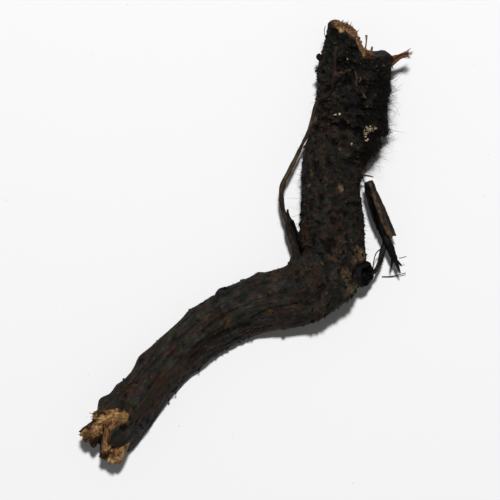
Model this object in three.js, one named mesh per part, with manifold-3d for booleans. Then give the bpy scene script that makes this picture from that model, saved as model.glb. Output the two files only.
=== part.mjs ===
// A dried root lying on a surface: a thick S-bent root with a broken crown and a broken tip,
// two torn side roots at its elbow, and a few stiff fibres. Millimetres, +Z up, the root rests
// on z = 0, +Y points along the length of the piece towards its crown.
//
// Every piece is grown along a smooth spine. A place on the thick root is given by u, its
// station number along the spine (0 at the crown), and by an angle round the section
// (0 degrees on the left flank, 90 degrees on top, 180 degrees on the right flank).
import * as THREE from "three";
import { mergeVertices } from "three/addons/utils/BufferGeometryUtils.js";
import Module from "manifold-3d";

// ---------------------------------------------------------------- driving dimensions

const CLEARANCE = 0.3; // between a side piece and what it grew from
const BARK_THICKNESS = 0.35; // wall of a torn bark sleeve
const FURROW_DEPTH = 0.16; // lengthwise shrinkage furrows of the thick root
const FURROWS = 9; // round the section
const LEDGE_HEIGHT = 0.45; // how far the crown block overhangs the neck
const LEDGE_STATION = 4.0; // where the crown block ends
const FLANK_HEIGHT = 1.7; // how high above the surface the taproot's slumped right flank lies
const OVERHANG = 3.4; // how far the elbow's outer flank leans out high above its foot

// Thick root: centre x, y, z, half width and half height of each section.
const ROOT_STATIONS = [
  [20.4, 39.6, 6.3, 4.8, 4.4], // far end of the crown's horn
  [20.0, 34.6, 6.2, 5.6, 5.1],
  [19.5, 30.1, 5.9, 6.1, 5.5],
  [19.3, 25.6, 5.6, 6.1, 5.7], // crown block rests here
  [18.7, 21.2, 5.5, 6.2, 5.5],
  [17.0, 17.2, 5.6, 6.1, 5.3],
  [15.8, 14.0, 5.7, 5.7, 5.2],
  [15.3, 10.8, 5.8, 5.3, 5.0], // waist of the neck
  [15.4, 7.4, 5.8, 5.3, 5.0],
  [15.6, 4.0, 5.7, 5.6, 5.2],
  [15.6, 0.2, 5.5, 5.7, 5.4],
  [15.7, -3.8, 5.4, 5.8, 5.6], // elbow rests here
  [12.67, -7.5, 5.4, 5.7, 5.6],
  [8.57, -9.8, 5.2, 5.6, 5.2],
  [3.4, -10.95, 4.9, 5.25, 4.9],
  [-1.4, -12.75, 4.6, 5.05, 4.7],
  [-6.2, -15.5, 4.4, 4.8, 4.6], // taproot rests here
  [-10.25, -18.65, 4.3, 4.45, 4.4],
  [-14.3, -22.2, 4.4, 4.4, 4.3],
  [-17.7, -26.4, 4.9, 4.3, 4.3],
  [-20.8, -30.3, 6.0, 4.6, 4.4],
  [-23.4, -33.8, 7.3, 4.55, 4.4], // torn rim of the bark at the tip
  [-25.7, -36.5, 8.1, 4.2, 4.0],
];

// The crown's broken edge: share of the half width, and the station where it breaks off.
const CROWN_EDGE = [
  [-1, 1.1],
  [-0.82, 0.93],
  [-0.5, 1],
  [-0.16, 0.96],
  [-0.05, 0.72],
  [0.1, 0.33],
  [0.3, 0.18],
  [0.5, 0.07],
  [0.9, 0],
  [1, 0.12],
];

// Swellings and one pit of the thick root: station, angle, height and radius of each.
const KNOBS = [
  [1.65, 70, -0.9, 1.2], // pit on top of the crown
  [1.3, 150, 0.7, 2.0], // right shoulder of the crown
  [4.1, 182, 0.5, 2.2],
  [5.0, 175, 1.0, 2.6], // swelling where the crown meets the neck
  [9.4, 10, 0.4, 1.6],
  [11.4, 150, 0.4, 2.2], // outer side of the elbow
  [14.2, 5, 0.35, 1.0],
  [15.2, 2, 0.6, 1.2],
  [16.3, 0, 0.4, 1.3],
  [17.3, 178, 0.3, 1.2],
  [18.4, 0, 0.45, 1.4],
  [19.6, 2, 0.4, 1.3],
  [20.4, 8, 1.1, 1.6], // flared bark at the tip
];

// Wood that stands out of the broken tip: centre, radii and turn about z of each lump.
const TIP_LUMPS = [
  [-27.4, -34.2, 7.4, 2.5, 1.3, 1.6, 38],
  [-25.4, -35.6, 8.5, 2.6, 1.2, 1.5, 50],
  [-23.2, -37.6, 6.9, 2.7, 1.4, 1.7, 55],
  [-26.0, -32.6, 9.1, 2.6, 1.6, 1.6, 40],
];

// Broken base of the right side root, on the outer side of the elbow.
const SCAR = { at: [20.4, -5.7, 6.4], along: [0.74, -0.26, 0.62], radius: 1.9, height: 1.9 };
const SOCKET_RADIUS = 1.2;
const SOCKET_DEPTH = 1.5;

const RESTING_TRIM = 40; // edge of the block that levels the underside, well past the root

// ---------------------------------------------------------------- booleans

const wasm = await Module();
wasm.setup();

/** A closed three.js geometry as a manifold-3d solid. */
function solidOf(geometry) {
  const bare = geometry.index ? geometry.toNonIndexed() : geometry.clone();
  bare.deleteAttribute("normal");
  bare.deleteAttribute("uv");
  const merged = mergeVertices(bare, 1e-4);
  return new wasm.Manifold(
    new wasm.Mesh({
      numProp: 3,
      vertProperties: merged.attributes.position.array,
      triVerts: new Uint32Array(merged.index.array),
    }),
  );
}

/** A manifold-3d solid as a three.js geometry. */
function geometryOf(solid) {
  const mesh = solid.getMesh();
  const geometry = new THREE.BufferGeometry();
  geometry.setAttribute("position", new THREE.BufferAttribute(mesh.vertProperties, 3));
  geometry.setIndex(new THREE.BufferAttribute(mesh.triVerts, 1));
  geometry.computeVertexNormals();
  return geometry;
}

// ---------------------------------------------------------------- growing along a spine

const UP = new THREE.Vector3(0, 0, 1);
const { clamp, smoothstep, degToRad, lerp } = THREE.MathUtils;

/** A smooth curve through rows of numbers, three columns from the given one on. */
function curveThrough(rows, column = 0) {
  const points = rows.map((row) => new THREE.Vector3(...row.slice(column, column + 3)));
  return new THREE.CatmullRomCurve3(points, false, "catmullrom", 0.5);
}

const CHORD = 0.9; // stations on either side of a section that set which way it faces

/**
 * The spine of a limb: its centre line and, at the same stations, its half width and height.
 * sag(u, a, z) lowers the skin in millimetres, with the centre line at height z.
 */
class Spine {
  constructor(stations, sag = () => 0) {
    this.last = stations.length - 1;
    this.sag = sag;
    this.centre = curveThrough(stations);
    this.girth = curveThrough(stations.map((row) => [row[3], row[4], 0]));
  }

  /** The place on the centre line at station u. */
  middle(u) {
    return this.centre.getPoint(clamp(u / this.last, 0, 1));
  }

  /**
   * The section at station u: centre, size, and its side and up directions. It faces along
   * the chord between its neighbours, so that sections never cross inside a tight bend.
   */
  section(u) {
    const forward = this.middle(u + CHORD).sub(this.middle(u - CHORD)).normalize();
    const side = new THREE.Vector3().crossVectors(forward, UP).normalize();
    const up = new THREE.Vector3().crossVectors(side, forward);
    const size = this.girth.getPoint(clamp(u / this.last, 0, 1));
    return { centre: this.middle(u), side, up, width: size.x, height: size.y };
  }

  /** The point at station u, across by a and up by b, both as shares of the half sizes. */
  point(u, a, b, lift = 0) {
    const s = this.section(u);
    const stretch = 1 + lift / Math.max(Math.hypot(a * s.width, b * s.height), 1e-6);
    return s.centre
      .addScaledVector(s.side, a * s.width * stretch)
      .addScaledVector(s.up, b * s.height * stretch)
      .addScaledVector(UP, -this.sag(u, a, s.centre.z));
  }
}

/**
 * A closed body grown along a spine. The rows of a sphere become the two end faces and the
 * rings between them. from(a, b) and to(a, b) give the station where each line along the
 * body starts and ends, so that an end can be slanted or torn; relief(u, angle) lifts the
 * skin in millimetres.
 */
function grow(spine, { sides, rings, faceRings = 3, from, to, relief = () => 0 }) {
  const rows = rings + 2 * faceRings;
  const geometry = new THREE.SphereGeometry(1, sides, rows);
  const position = geometry.attributes.position;
  const columns = sides + 1;
  for (let i = 0; i < position.count; i++) {
    const row = Math.floor(i / columns);
    const angle = (2 * Math.PI * (i % columns)) / sides;
    const inset = Math.min(1, row / faceRings, (rows - row) / faceRings);
    const share = clamp((row - faceRings) / rings, 0, 1);
    const a = inset * Math.cos(angle);
    const b = inset * Math.sin(angle);
    const u = lerp(from(a, b), to(a, b), share);
    const lift = inset * relief(u, angle);
    const p = spine.point(u, a, b, lift);
    position.setXYZ(i, p.x, p.y, p.z);
  }
  return geometry;
}

/** A plain limb with both ends square to its spine. */
function limb(stations, sides, rings) {
  const spine = new Spine(stations);
  return grow(spine, { sides, rings, faceRings: 1, from: () => 0, to: () => spine.last });
}

// ---------------------------------------------------------------- the thick root

/**
 * The elbow's outer flank overhangs, and along the taproot the right flank has slumped
 * until it lies close to the surface, which widens its foot.
 */
function flankSag(u, a, z) {
  const overhang = OVERHANG * smoothstep(u, 10.9, 11.7) * (1 - smoothstep(u, 12.4, 13.1));
  const slump = (z - FLANK_HEIGHT) * smoothstep(u, 13.2, 15);
  return (slump - overhang) * Math.max(-a, 0) ** 2;
}

const rootSpine = new Spine(ROOT_STATIONS, flankSag);

/** Millimetres between station u at an angle and a knob, measured over the skin. */
function distanceToKnob(u, angle, [station, degrees]) {
  const here = rootSpine.section(u);
  const there = rootSpine.section(station);
  const along = here.centre.distanceTo(there.centre);
  let turn = Math.abs(angle - degToRad(degrees)) % (2 * Math.PI);
  turn = Math.min(turn, 2 * Math.PI - turn);
  return Math.hypot(along, turn * here.width);
}

/** Furrows, the ledge under the crown block and the knobs, in millimetres. */
function rootRelief(u, angle) {
  const wander = 0.5 * Math.sin(0.8 * u) + 0.3 * Math.sin(1.9 * u);
  const furrow = FURROW_DEPTH * smoothstep(u, 8, 14) * Math.cos(FURROWS * angle + wander);
  const ledge = LEDGE_HEIGHT * (1 - smoothstep(u, LEDGE_STATION - 0.15, LEDGE_STATION + 0.2));
  const knobs = KNOBS.reduce((sum, knob) => {
    const away = distanceToKnob(u, angle, knob) / knob[3];
    return sum + knob[2] * Math.exp(-away * away);
  }, 0);
  return furrow + ledge + knobs;
}

/** Where the crown is broken off: a rounded horn on the left, a low shoulder on the right. */
function crownBreak(a, b) {
  const next = Math.max(1, CROWN_EDGE.findIndex(([across]) => across >= clamp(a, -1, 1)));
  const [[fromA, fromU], [toA, toU]] = CROWN_EDGE.slice(next - 1, next + 1);
  return lerp(fromU, toU, (clamp(a, -1, 1) - fromA) / (toA - fromA)) + 0.3 * Math.max(b, 0);
}

/** Where the tip is broken off: the bark is torn further back on top. */
function tipBreak(a, b) {
  return rootSpine.last - 0.7 - 0.45 * b - 0.15 * a;
}

/** A place on the root's skin, lifted off it by some millimetres. */
function onSkin(u, degrees, lift) {
  const angle = degToRad(degrees);
  const p = rootSpine.point(u, Math.cos(angle), Math.sin(angle), lift + rootRelief(u, angle));
  return [p.x, p.y, p.z];
}

/** One lump of wood, a faceted ball stretched and turned. */
function tipLump([x, y, z, length, width, height, degrees]) {
  const lump = new THREE.IcosahedronGeometry(1, 1).scale(length, width, height);
  return lump.rotateZ(degToRad(degrees)).translate(x, y, z);
}

/** A round body at the side root's scar: radius at its foot and head, from one depth to another. */
function atScar(footRadius, headRadius, from, to) {
  const outline = [
    [0, from],
    [footRadius, from],
    [headRadius, to],
    [0, to],
  ].map(([r, y]) => new THREE.Vector2(r, y));
  const along = new THREE.Vector3(...SCAR.along).normalize();
  const turn = new THREE.Quaternion().setFromUnitVectors(new THREE.Vector3(0, 1, 0), along);
  return new THREE.LatheGeometry(outline, 14).applyQuaternion(turn).translate(...SCAR.at);
}

/** The root before its ends are carved, lifted off its true skin by some millimetres. */
function rootBody(lift = 0) {
  const body = grow(rootSpine, {
    sides: 24,
    rings: 74,
    faceRings: 4,
    from: crownBreak,
    to: tipBreak,
    relief: (u, angle) => rootRelief(u, angle) + lift,
  });
  const stub = atScar(SCAR.radius + 0.3 + lift, SCAR.radius + lift, -2, SCAR.height + lift);
  return solidOf(body).add(solidOf(stub));
}

function mainRoot() {
  const socket = atScar(
    SOCKET_RADIUS * 0.6,
    SOCKET_RADIUS,
    SCAR.height - SOCKET_DEPTH,
    SCAR.height + 0.5,
  );
  const ground = new THREE.BoxGeometry(3 * RESTING_TRIM, 3 * RESTING_TRIM, RESTING_TRIM);
  ground.translate(0, 0, -RESTING_TRIM / 2);
  let root = rootBody();
  for (const lump of TIP_LUMPS) root = root.add(solidOf(tipLump(lump)));
  return geometryOf(root.subtract(solidOf(socket)).subtract(solidOf(ground)));
}

/** The part of a solid that stays clear of the thick root, its inner bend included. */
function clearOfRoot(solid) {
  const pieces = solid.subtract(rootBody(2 * CLEARANCE)).decompose();
  return pieces.reduce((best, piece) => (piece.volume() > best.volume() ? piece : best));
}

// ---------------------------------------------------------------- the left side root

// The torn bark sleeve stands on the inside of the elbow. Its wiry core runs on up the
// flank, bows away from the neck and lies over the crown.
const LEFT_SLEEVE = [
  [9.4, -2.8, 5.3, 1.15, 1.05],
  [8.9, -0.8, 5.5, 1.08, 1.0],
  [8.4, 1.1, 5.6, 1.1, 1.0],
  [7.95, 2.7, 5.7, 1.08, 0.95],
  [7.65, 4.1, 5.8, 0.9, 0.85],
  [7.5, 5.5, 5.9, 0.65, 0.7],
];
const LEFT_CORE_RADIUS = 0.34;
const LEFT_CORE_BOW = [
  [8.35, 1.2, 5.65],
  [7.6, 3.2, 5.75],
  [6.9, 5.0, 5.8],
  [6.45, 7.0, 5.9],
  [6.35, 8.8, 6.0],
  [6.7, 10.6, 6.0],
  [7.7, 12.7, 6.1],
  [8.95, 15.2, 6.4],
  [10.1, 17.8, 6.9],
  [11.25, 20.2, 7.5],
];
const LEFT_CORE_ON_CROWN = [
  [3.5, 24],
  [3.1, 36],
  [2.72, 47],
  [2.35, 55],
  [1.85, 57.5],
  [1.4, 56.5],
  [1.0, 54],
];

/** A bark sleeve: a limb with a bore that runs out of its torn end. */
function sleeve(stations, sides, rings, tear) {
  const outer = new Spine(stations);
  const inner = new Spine(stations.map(([x, y, z, w, h]) => [x, y, z, w - BARK_THICKNESS, h - BARK_THICKNESS]));
  const last = outer.last;
  const skin = grow(outer, { sides, rings, faceRings: 1, from: () => 0, to: tear });
  const bore = grow(inner, { sides, rings, faceRings: 1, from: () => 0.6, to: () => last });
  return solidOf(skin).subtract(solidOf(bore));
}

/** The wiry core from inside the sleeve to its end on the crown. */
function leftCore(radius = LEFT_CORE_RADIUS) {
  const onCrown = LEFT_CORE_ON_CROWN.map(([u, degrees]) =>
    onSkin(u, degrees, LEFT_CORE_RADIUS + CLEARANCE),
  );
  const route = [...LEFT_CORE_BOW, ...onCrown].map((p, i, all) => {
    const thickness = radius * lerp(1, 0.8, i / (all.length - 1));
    return [...p, thickness, thickness];
  });
  return limb(route, 8, 44);
}

/** Bark torn away on the side where the core bends out of it. */
function leftSleeve() {
  const last = LEFT_SLEEVE.length - 1;
  const bark = sleeve(LEFT_SLEEVE, 12, 10, (a) => last - 0.5 + 0.45 * a);
  return geometryOf(clearOfRoot(bark.subtract(solidOf(leftCore(LEFT_CORE_RADIUS + CLEARANCE)))));
}

// ---------------------------------------------------------------- the right side root

// A split bark sleeve round a dark core that frays below it, held by a strand to the scar.
const RIGHT_SLEEVE = [
  [21.9, 10.8, 6.6, 0.85, 0.85],
  [22.9, 8.3, 6.3, 1.05, 0.95],
  [24.0, 5.6, 6.0, 1.15, 1.0],
  [25.0, 3.0, 5.6, 1.15, 1.0],
  [25.9, 0.6, 5.2, 1.15, 1.0],
];
const SPLIT_WIDTH = 0.7;
const RIGHT_CORE = [
  [24.1, 5.2, 6.0, 0.38, 0.36],
  [25.1, 2.6, 5.6, 0.38, 0.36],
  [25.9, 0.4, 5.2, 0.45, 0.4],
  [26.5, -1.7, 4.9, 0.55, 0.4],
  [26.9, -3.2, 4.8, 0.5, 0.35],
];
const CORE_PRONGS = [
  [
    [26.8, -3.0, 4.8, 0.36, 0.3],
    [27.3, -4.3, 4.7, 0.3, 0.25],
    [27.8, -5.5, 4.6, 0.12, 0.12],
  ],
  [
    [26.7, -2.9, 4.8, 0.3, 0.3],
    [26.2, -4.0, 4.6, 0.22, 0.2],
    [26.2, -4.9, 4.5, 0.1, 0.1],
  ],
];
const RIGHT_STRAND = [
  [25.1, -0.7, 5.0, 0.3, 0.28],
  [24.7, -2.3, 5.2, 0.32, 0.3],
  [24.2, -3.9, 5.8, 0.3, 0.3],
  [23.75, -5.1, 6.4, 0.28, 0.28],
  [23.5, -5.8, 6.85, 0.26, 0.26],
];

/** The slot along the left of the right sleeve, where its bark has split open. */
function split() {
  const rows = RIGHT_SLEEVE.map(([x, y, z, w]) => [x - w, y - 0.3, z + 0.25, w * 0.8, SPLIT_WIDTH / 2]);
  const spine = new Spine(rows);
  return grow(spine, { sides: 8, rings: 6, faceRings: 1, from: () => 1.4, to: () => spine.last });
}

function rightSleeve() {
  const last = RIGHT_SLEEVE.length - 1;
  const tube = sleeve(RIGHT_SLEEVE, 12, 9, (a, b) => last - 0.12 + 0.1 * b - 0.1 * a);
  return geometryOf(tube.subtract(solidOf(split())));
}

function rightCore() {
  let core = solidOf(limb(RIGHT_CORE, 8, 8));
  for (const prong of CORE_PRONGS) core = core.add(solidOf(limb(prong, 7, 4)));
  return geometryOf(core);
}

// ---------------------------------------------------------------- splinters and stubs

const CROWN_SPLINTER = [
  [26.75, 32.7, 8.1, 0.9, 0.45],
  [27.1, 32.9, 8.2, 0.8, 0.4],
  [27.6, 33.2, 8.4, 0.65, 0.34],
  [28.7, 33.6, 8.6, 0.42, 0.24],
  [29.6, 33.7, 8.7, 0.16, 0.12],
];
const CROWN_FIBRE_LENGTH = 3.4;
const NECK_STUB_LENGTH = 2.0;

/** A stiff fibre that stands on the root's skin and points along a direction. */
function fibre(u, degrees, direction, length, footRadius, headRadius) {
  const foot = new THREE.Vector3(...onSkin(u, degrees, CLEARANCE));
  const stations = [0, 0.5, 1].map((share) => {
    const p = foot.clone().addScaledVector(direction, share * length);
    const radius = lerp(footRadius, headRadius, share);
    return [p.x, p.y, p.z, radius, radius];
  });
  return limb(stations, 7, 5);
}

const crownFibre = () =>
  fibre(1.0, 108, new THREE.Vector3(0.05, 0.98, 0.3).normalize(), CROWN_FIBRE_LENGTH, 0.3, 0.17);

const neckStub = () =>
  fibre(6.33, 170, new THREE.Vector3(0.99, -0.1, 0.05).normalize(), NECK_STUB_LENGTH, 0.24, 0.15);

// ---------------------------------------------------------------- finishes and assembly

const finish = (color, roughness) => new THREE.MeshStandardMaterial({ color, roughness, metalness: 0 });
const BARK = finish(0x2b231c, 0.85);
const WIRY = finish(0x4a3424, 0.7);
const TORN_BARK = finish(0x33281f, 0.85);
const TORN_WOOD = finish(0xa9683a, 0.8);

const PIECES = {
  main_root: [mainRoot(), BARK],
  left_side_root_bark: [leftSleeve(), TORN_BARK],
  left_side_root_core: [leftCore(), WIRY],
  right_side_root_bark: [rightSleeve(), TORN_BARK],
  right_side_root_core: [rightCore(), WIRY],
  right_side_root_strand: [limb(RIGHT_STRAND, 8, 10), WIRY],
  crown_splinter: [limb(CROWN_SPLINTER, 8, 8), TORN_WOOD],
  crown_fibre: [crownFibre(), TORN_WOOD],
  neck_rootlet_stub: [neckStub(), WIRY],
};

const dryRoot = new THREE.Group();
for (const [name, [geometry, material]] of Object.entries(PIECES)) {
  const mesh = new THREE.Mesh(geometry, material);
  mesh.name = name;
  dryRoot.add(mesh);
}

export default dryRoot;
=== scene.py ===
"""A dried root lying on a pale sheet: S-bent root, torn side roots, wiry rootlet, hairs and soil.

Lengths are in millimetres in this script and become metres when a mesh is made. A place on
the thick root is given by u, its station number along the spine (0 at the crown), and by an
angle round the section (0 on the left flank, 90 degrees on top, 180 on the right flank).
"""

import itertools
import logging
import math
from collections.abc import Callable, Sequence
from dataclasses import dataclass, field
from enum import Enum

import bpy
import numpy as np
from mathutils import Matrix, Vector


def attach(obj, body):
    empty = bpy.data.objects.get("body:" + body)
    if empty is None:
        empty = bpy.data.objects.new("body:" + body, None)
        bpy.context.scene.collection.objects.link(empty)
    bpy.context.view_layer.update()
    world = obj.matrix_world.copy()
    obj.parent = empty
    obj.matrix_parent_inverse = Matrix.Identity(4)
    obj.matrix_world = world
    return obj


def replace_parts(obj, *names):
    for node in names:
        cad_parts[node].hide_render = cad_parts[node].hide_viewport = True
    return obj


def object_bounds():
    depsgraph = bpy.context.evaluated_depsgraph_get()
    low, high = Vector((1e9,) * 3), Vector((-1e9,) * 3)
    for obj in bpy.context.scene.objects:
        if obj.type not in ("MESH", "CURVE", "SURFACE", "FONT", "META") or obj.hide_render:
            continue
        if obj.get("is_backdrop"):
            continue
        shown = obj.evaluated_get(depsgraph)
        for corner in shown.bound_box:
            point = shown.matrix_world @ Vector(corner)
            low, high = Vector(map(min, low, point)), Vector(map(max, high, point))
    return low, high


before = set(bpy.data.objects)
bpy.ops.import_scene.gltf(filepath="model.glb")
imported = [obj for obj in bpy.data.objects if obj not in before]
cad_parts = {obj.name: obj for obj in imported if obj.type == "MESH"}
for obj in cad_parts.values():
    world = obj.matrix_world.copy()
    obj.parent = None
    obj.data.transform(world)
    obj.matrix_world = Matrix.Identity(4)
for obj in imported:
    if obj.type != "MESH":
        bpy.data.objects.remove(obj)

Array = np.ndarray
Rgb = tuple[float, float, float]
Rows = tuple[tuple[float, ...], ...]
Material = bpy.types.Material
Object = bpy.types.Object
Socket = bpy.types.NodeSocket
Node = bpy.types.Node
Tree = bpy.types.NodeTree
Number = float | Socket
Color = Rgb | Socket
logger = logging.getLogger("dry_root")

METRES = 0.001  # one of this script's millimetres
BODY = "root"
SEED = 20417


class Slot(str, Enum):
    """The record's material slots."""

    ROOT_BARK = "root_bark"
    TORN_BARK = "torn_bark"
    WIRY_CORE = "wiry_core"
    DARK_CORE = "dark_core"
    TORN_WOOD = "torn_wood"


# ---------------------------------------------------------------- noise


def hashed(cell: Array, seed: int) -> Array:
    """A repeatable random number for each cell of a cubic lattice.

    Args:
        cell: whole-number places, last axis of length 3.
        seed: picks another set of numbers.

    Returns:
        Numbers from 0 to 1, mixed by multiplying and shifting the cell's numbers.
    """
    c = cell.astype(np.int64).astype(np.uint32)
    h = c[..., 0] * np.uint32(374761393) + c[..., 1] * np.uint32(668265263)
    h = h + c[..., 2] * np.uint32(2246822519) + np.uint32(seed * 3266489917 % 2**32)
    h = (h ^ (h >> np.uint32(15))) * np.uint32(2246822519)
    h = (h ^ (h >> np.uint32(13))) * np.uint32(3266489917)
    return (h ^ (h >> np.uint32(16))) / 4294967295.0


def smooth_noise(p: Array, seed: int) -> Array:
    """Smooth noise from -1 to 1: the lattice's random numbers, blended by a quintic of the place
    in the cell.

    Args:
        p: places, last axis of length 3, one cell per unit.
        seed: picks another noise.

    Returns:
        One number per place.
    """
    base = np.floor(p)
    f = p - base
    f = f * f * f * (f * (6 * f - 15) + 10)
    total = np.zeros(p.shape[:-1])
    for corner in itertools.product((0, 1), repeat=3):
        weight = np.prod(np.where(corner, f, 1 - f), axis=-1)
        total += weight * hashed(base + np.array(corner), seed)
    return 2 * total - 1


# A turn between octaves, so that the lattice never lines up with itself.
OCTAVE_TURN = np.array([[0.36, 0.48, -0.80], [-0.80, 0.60, 0.00], [0.48, 0.64, 0.60]])


def layered(p: Array, seed: int, octaves: int = 3, gain: float = 0.5) -> Array:
    """Noise of several sizes added up, each half as large in size and gain times as strong.

    Args:
        p: places, last axis of length 3.
        seed: picks another noise.
        octaves: how many sizes.
        gain: strength of each size against the one before.

    Returns:
        One number per place, about -1 to 1.
    """
    total = np.zeros(p.shape[:-1])
    strength, norm = 1.0, 0.0
    for octave in range(octaves):
        total += strength * smooth_noise(p, seed + 17 * octave)
        norm += strength
        strength *= gain
        p = 2.03 * (p @ OCTAVE_TURN) + 11.3
    return total / norm


def wrinkled(p: Array, seed: int, octaves: int = 2) -> Array:
    """Rounded ridges with sharp creases between them: the size of a noise, whatever its sign.

    Args:
        p: places, last axis of length 3.
        seed: picks another noise.
        octaves: how many sizes.

    Returns:
        0 in a crease, up to about 1 on a ridge.
    """
    total, strength, norm = np.zeros(p.shape[:-1]), 1.0, 0.0
    for octave in range(octaves):
        total += strength * np.minimum(1, 2.2 * np.abs(smooth_noise(p, seed + 31 * octave)))
        norm += strength
        strength *= 0.5
        p = 2.1 * p + 5.7
    return total / norm


def nearest_grain(p: Array, seed: int) -> Array:
    """Distance to the nearest of one jittered point per lattice cell.

    Args:
        p: places, last axis of length 3.
        seed: picks other points.

    Returns:
        One distance per place, 0 to about 1.
    """
    base = np.floor(p)
    best = np.full(p.shape[:-1], 9.0)
    for step in itertools.product((-1, 0, 1), repeat=3):
        cell = base + np.array(step)
        jitter = np.stack([hashed(cell, seed + k) for k in range(3)], axis=-1)
        best = np.minimum(best, np.sum((cell + jitter - p) ** 2, axis=-1))
    return np.sqrt(best)


def ramp(low: float, high: float, x: Array) -> Array:
    """A smooth step from 0 at low to 1 at high, either way round: 3t squared minus 2t cubed."""
    t = np.clip((x - low) / (high - low), 0, 1)
    return t * t * (3 - 2 * t)


def mix(a: Array, b: Array, share: Array) -> Array:
    """The value that lies a share of the way from a to b."""
    return a + (b - a) * share


def unit(v: Array) -> Array:
    """Vectors of length 1 along the last axis."""
    return v / np.maximum(np.linalg.norm(v, axis=-1, keepdims=True), 1e-9)


def drawn_out(q: Array, share: float) -> Array:
    """Straightened coordinates shortened lengthwise, so that a noise on them runs along the grain."""
    return q * np.array([1, 1, share])


# ---------------------------------------------------------------- meshes

# Kind and field of a mesh attribute, by how many numbers it holds at each vertex.
ATTRIBUTE_KINDS = {1: ("FLOAT", "value"), 3: ("FLOAT_VECTOR", "vector"), 4: ("FLOAT_COLOR", "color")}


@dataclass
class Shape:
    """Vertices in millimetres with their faces and what the finishes read at each vertex."""

    vertices: Array
    quads: Array
    triangles: Array = field(default_factory=lambda: np.zeros((0, 3), int))
    values: dict[str, Array] = field(default_factory=dict)

    def joined(self, *others: "Shape") -> "Shape":
        """This shape and others as one.

        Args:
            others: shapes that carry the same values.

        Returns:
            One shape with the vertices of all, in order.
        """
        shapes = [self, *others]
        starts = np.cumsum([0] + [len(s.vertices) for s in shapes[:-1]])
        return Shape(
            np.concatenate([s.vertices for s in shapes]),
            np.concatenate([s.quads + k for s, k in zip(shapes, starts)]),
            np.concatenate([s.triangles + k for s, k in zip(shapes, starts)]),
            {name: np.concatenate([s.values[name] for s in shapes]) for name in self.values},
        )

    def piece(self, name: str, slot: Slot, material: Material) -> Object:
        """Makes the Blender piece: one mesh in metres that rides on the root.

        Args:
            name: the piece's name.
            slot: the record's slot that its finish belongs to; not used.
            material: its finish.

        Returns:
            The new object, at the origin.
        """
        mesh = bpy.data.meshes.new(name)
        mesh.vertices.add(len(self.vertices))
        mesh.vertices.foreach_set("co", (self.vertices * METRES).astype(np.float32).ravel())
        corners = np.concatenate([self.quads.ravel(), self.triangles.ravel()]).astype(np.int32)
        first = len(self.quads) * 4
        starts = np.concatenate([np.arange(0, first, 4), np.arange(first, len(corners), 3)])
        mesh.loops.add(len(corners))
        mesh.loops.foreach_set("vertex_index", corners)
        mesh.polygons.add(len(starts))
        mesh.polygons.foreach_set("loop_start", starts.astype(np.int32))
        mesh.polygons.foreach_set("use_smooth", np.ones(len(starts), bool))
        for key, value in self.values.items():
            kind, part = ATTRIBUTE_KINDS[1 if value.ndim == 1 else value.shape[-1]]
            layer = mesh.attributes.new(key, kind, "POINT")
            layer.data.foreach_set(part, value.astype(np.float32).ravel())
        mesh.update(calc_edges=True)
        mesh.validate()
        mesh.materials.append(material)
        obj = bpy.data.objects.new(name, mesh)
        bpy.context.scene.collection.objects.link(obj)
        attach(obj, BODY)
        logger.info("%s: %d faces", name, len(starts))
        return obj


def ring_quads(rows: int, columns: int, closed: bool = True) -> Array:
    """Quads between neighbouring rows of a grid, facing outwards when the columns run
    anticlockwise as seen from the far end of the rows.

    Args:
        rows: rows along the body.
        columns: columns round it.
        closed: whether the last column joins the first.

    Returns:
        Vertex numbers, four a face.
    """
    r, c = np.meshgrid(np.arange(rows - 1), np.arange(columns if closed else columns - 1), indexing="ij")
    here, after = r * columns + c, r * columns + (c + 1) % columns
    return np.stack([here, after, after + columns, here + columns], axis=-1).reshape(-1, 4)


def circle(count: int) -> Array:
    """Evenly spaced angles once round."""
    return 2 * np.pi * np.arange(count) / count


def on_circle(radius: Array, angle: Array) -> Array:
    """Places on a flat circle, for noises that have to close on themselves."""
    return np.stack([radius * np.cos(angle), radius * np.sin(angle), 0 * radius * angle], axis=-1)


def closed_tube(
    rings: Array, values: dict[str, Array] | None = None, ends: tuple[Array, Array] | None = None
) -> Shape:
    """Rings joined into one closed body, with a fan of triangles to a point at each end.

    Args:
        rings: places, rows by columns by 3.
        values: per ring vertex, rows by columns; each end point takes its ring's mean.
        ends: the points that close the first and last ring, or nothing for the rings' middles.

    Returns:
        The closed shape.
    """
    rows, columns = rings.shape[:2]
    start, end = ends or (rings[0].mean(0), rings[-1].mean(0))
    around = np.arange(columns)
    following = (around + 1) % columns
    first, last = rows * columns, rows * columns + 1
    tail = (rows - 1) * columns
    fans = [
        np.stack([np.full(columns, first), following, around], axis=-1),
        np.stack([np.full(columns, last), tail + around, tail + following], axis=-1),
    ]
    vertices = np.concatenate([rings.reshape(-1, 3), start[None], end[None]])
    packed = {
        name: np.concatenate([v.reshape(rows * columns, *v.shape[2:]), v[:1].mean(1), v[-1:].mean(1)])
        for name, v in (values or {}).items()
    }
    return Shape(vertices, ring_quads(rows, columns), np.concatenate(fans), packed)


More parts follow.
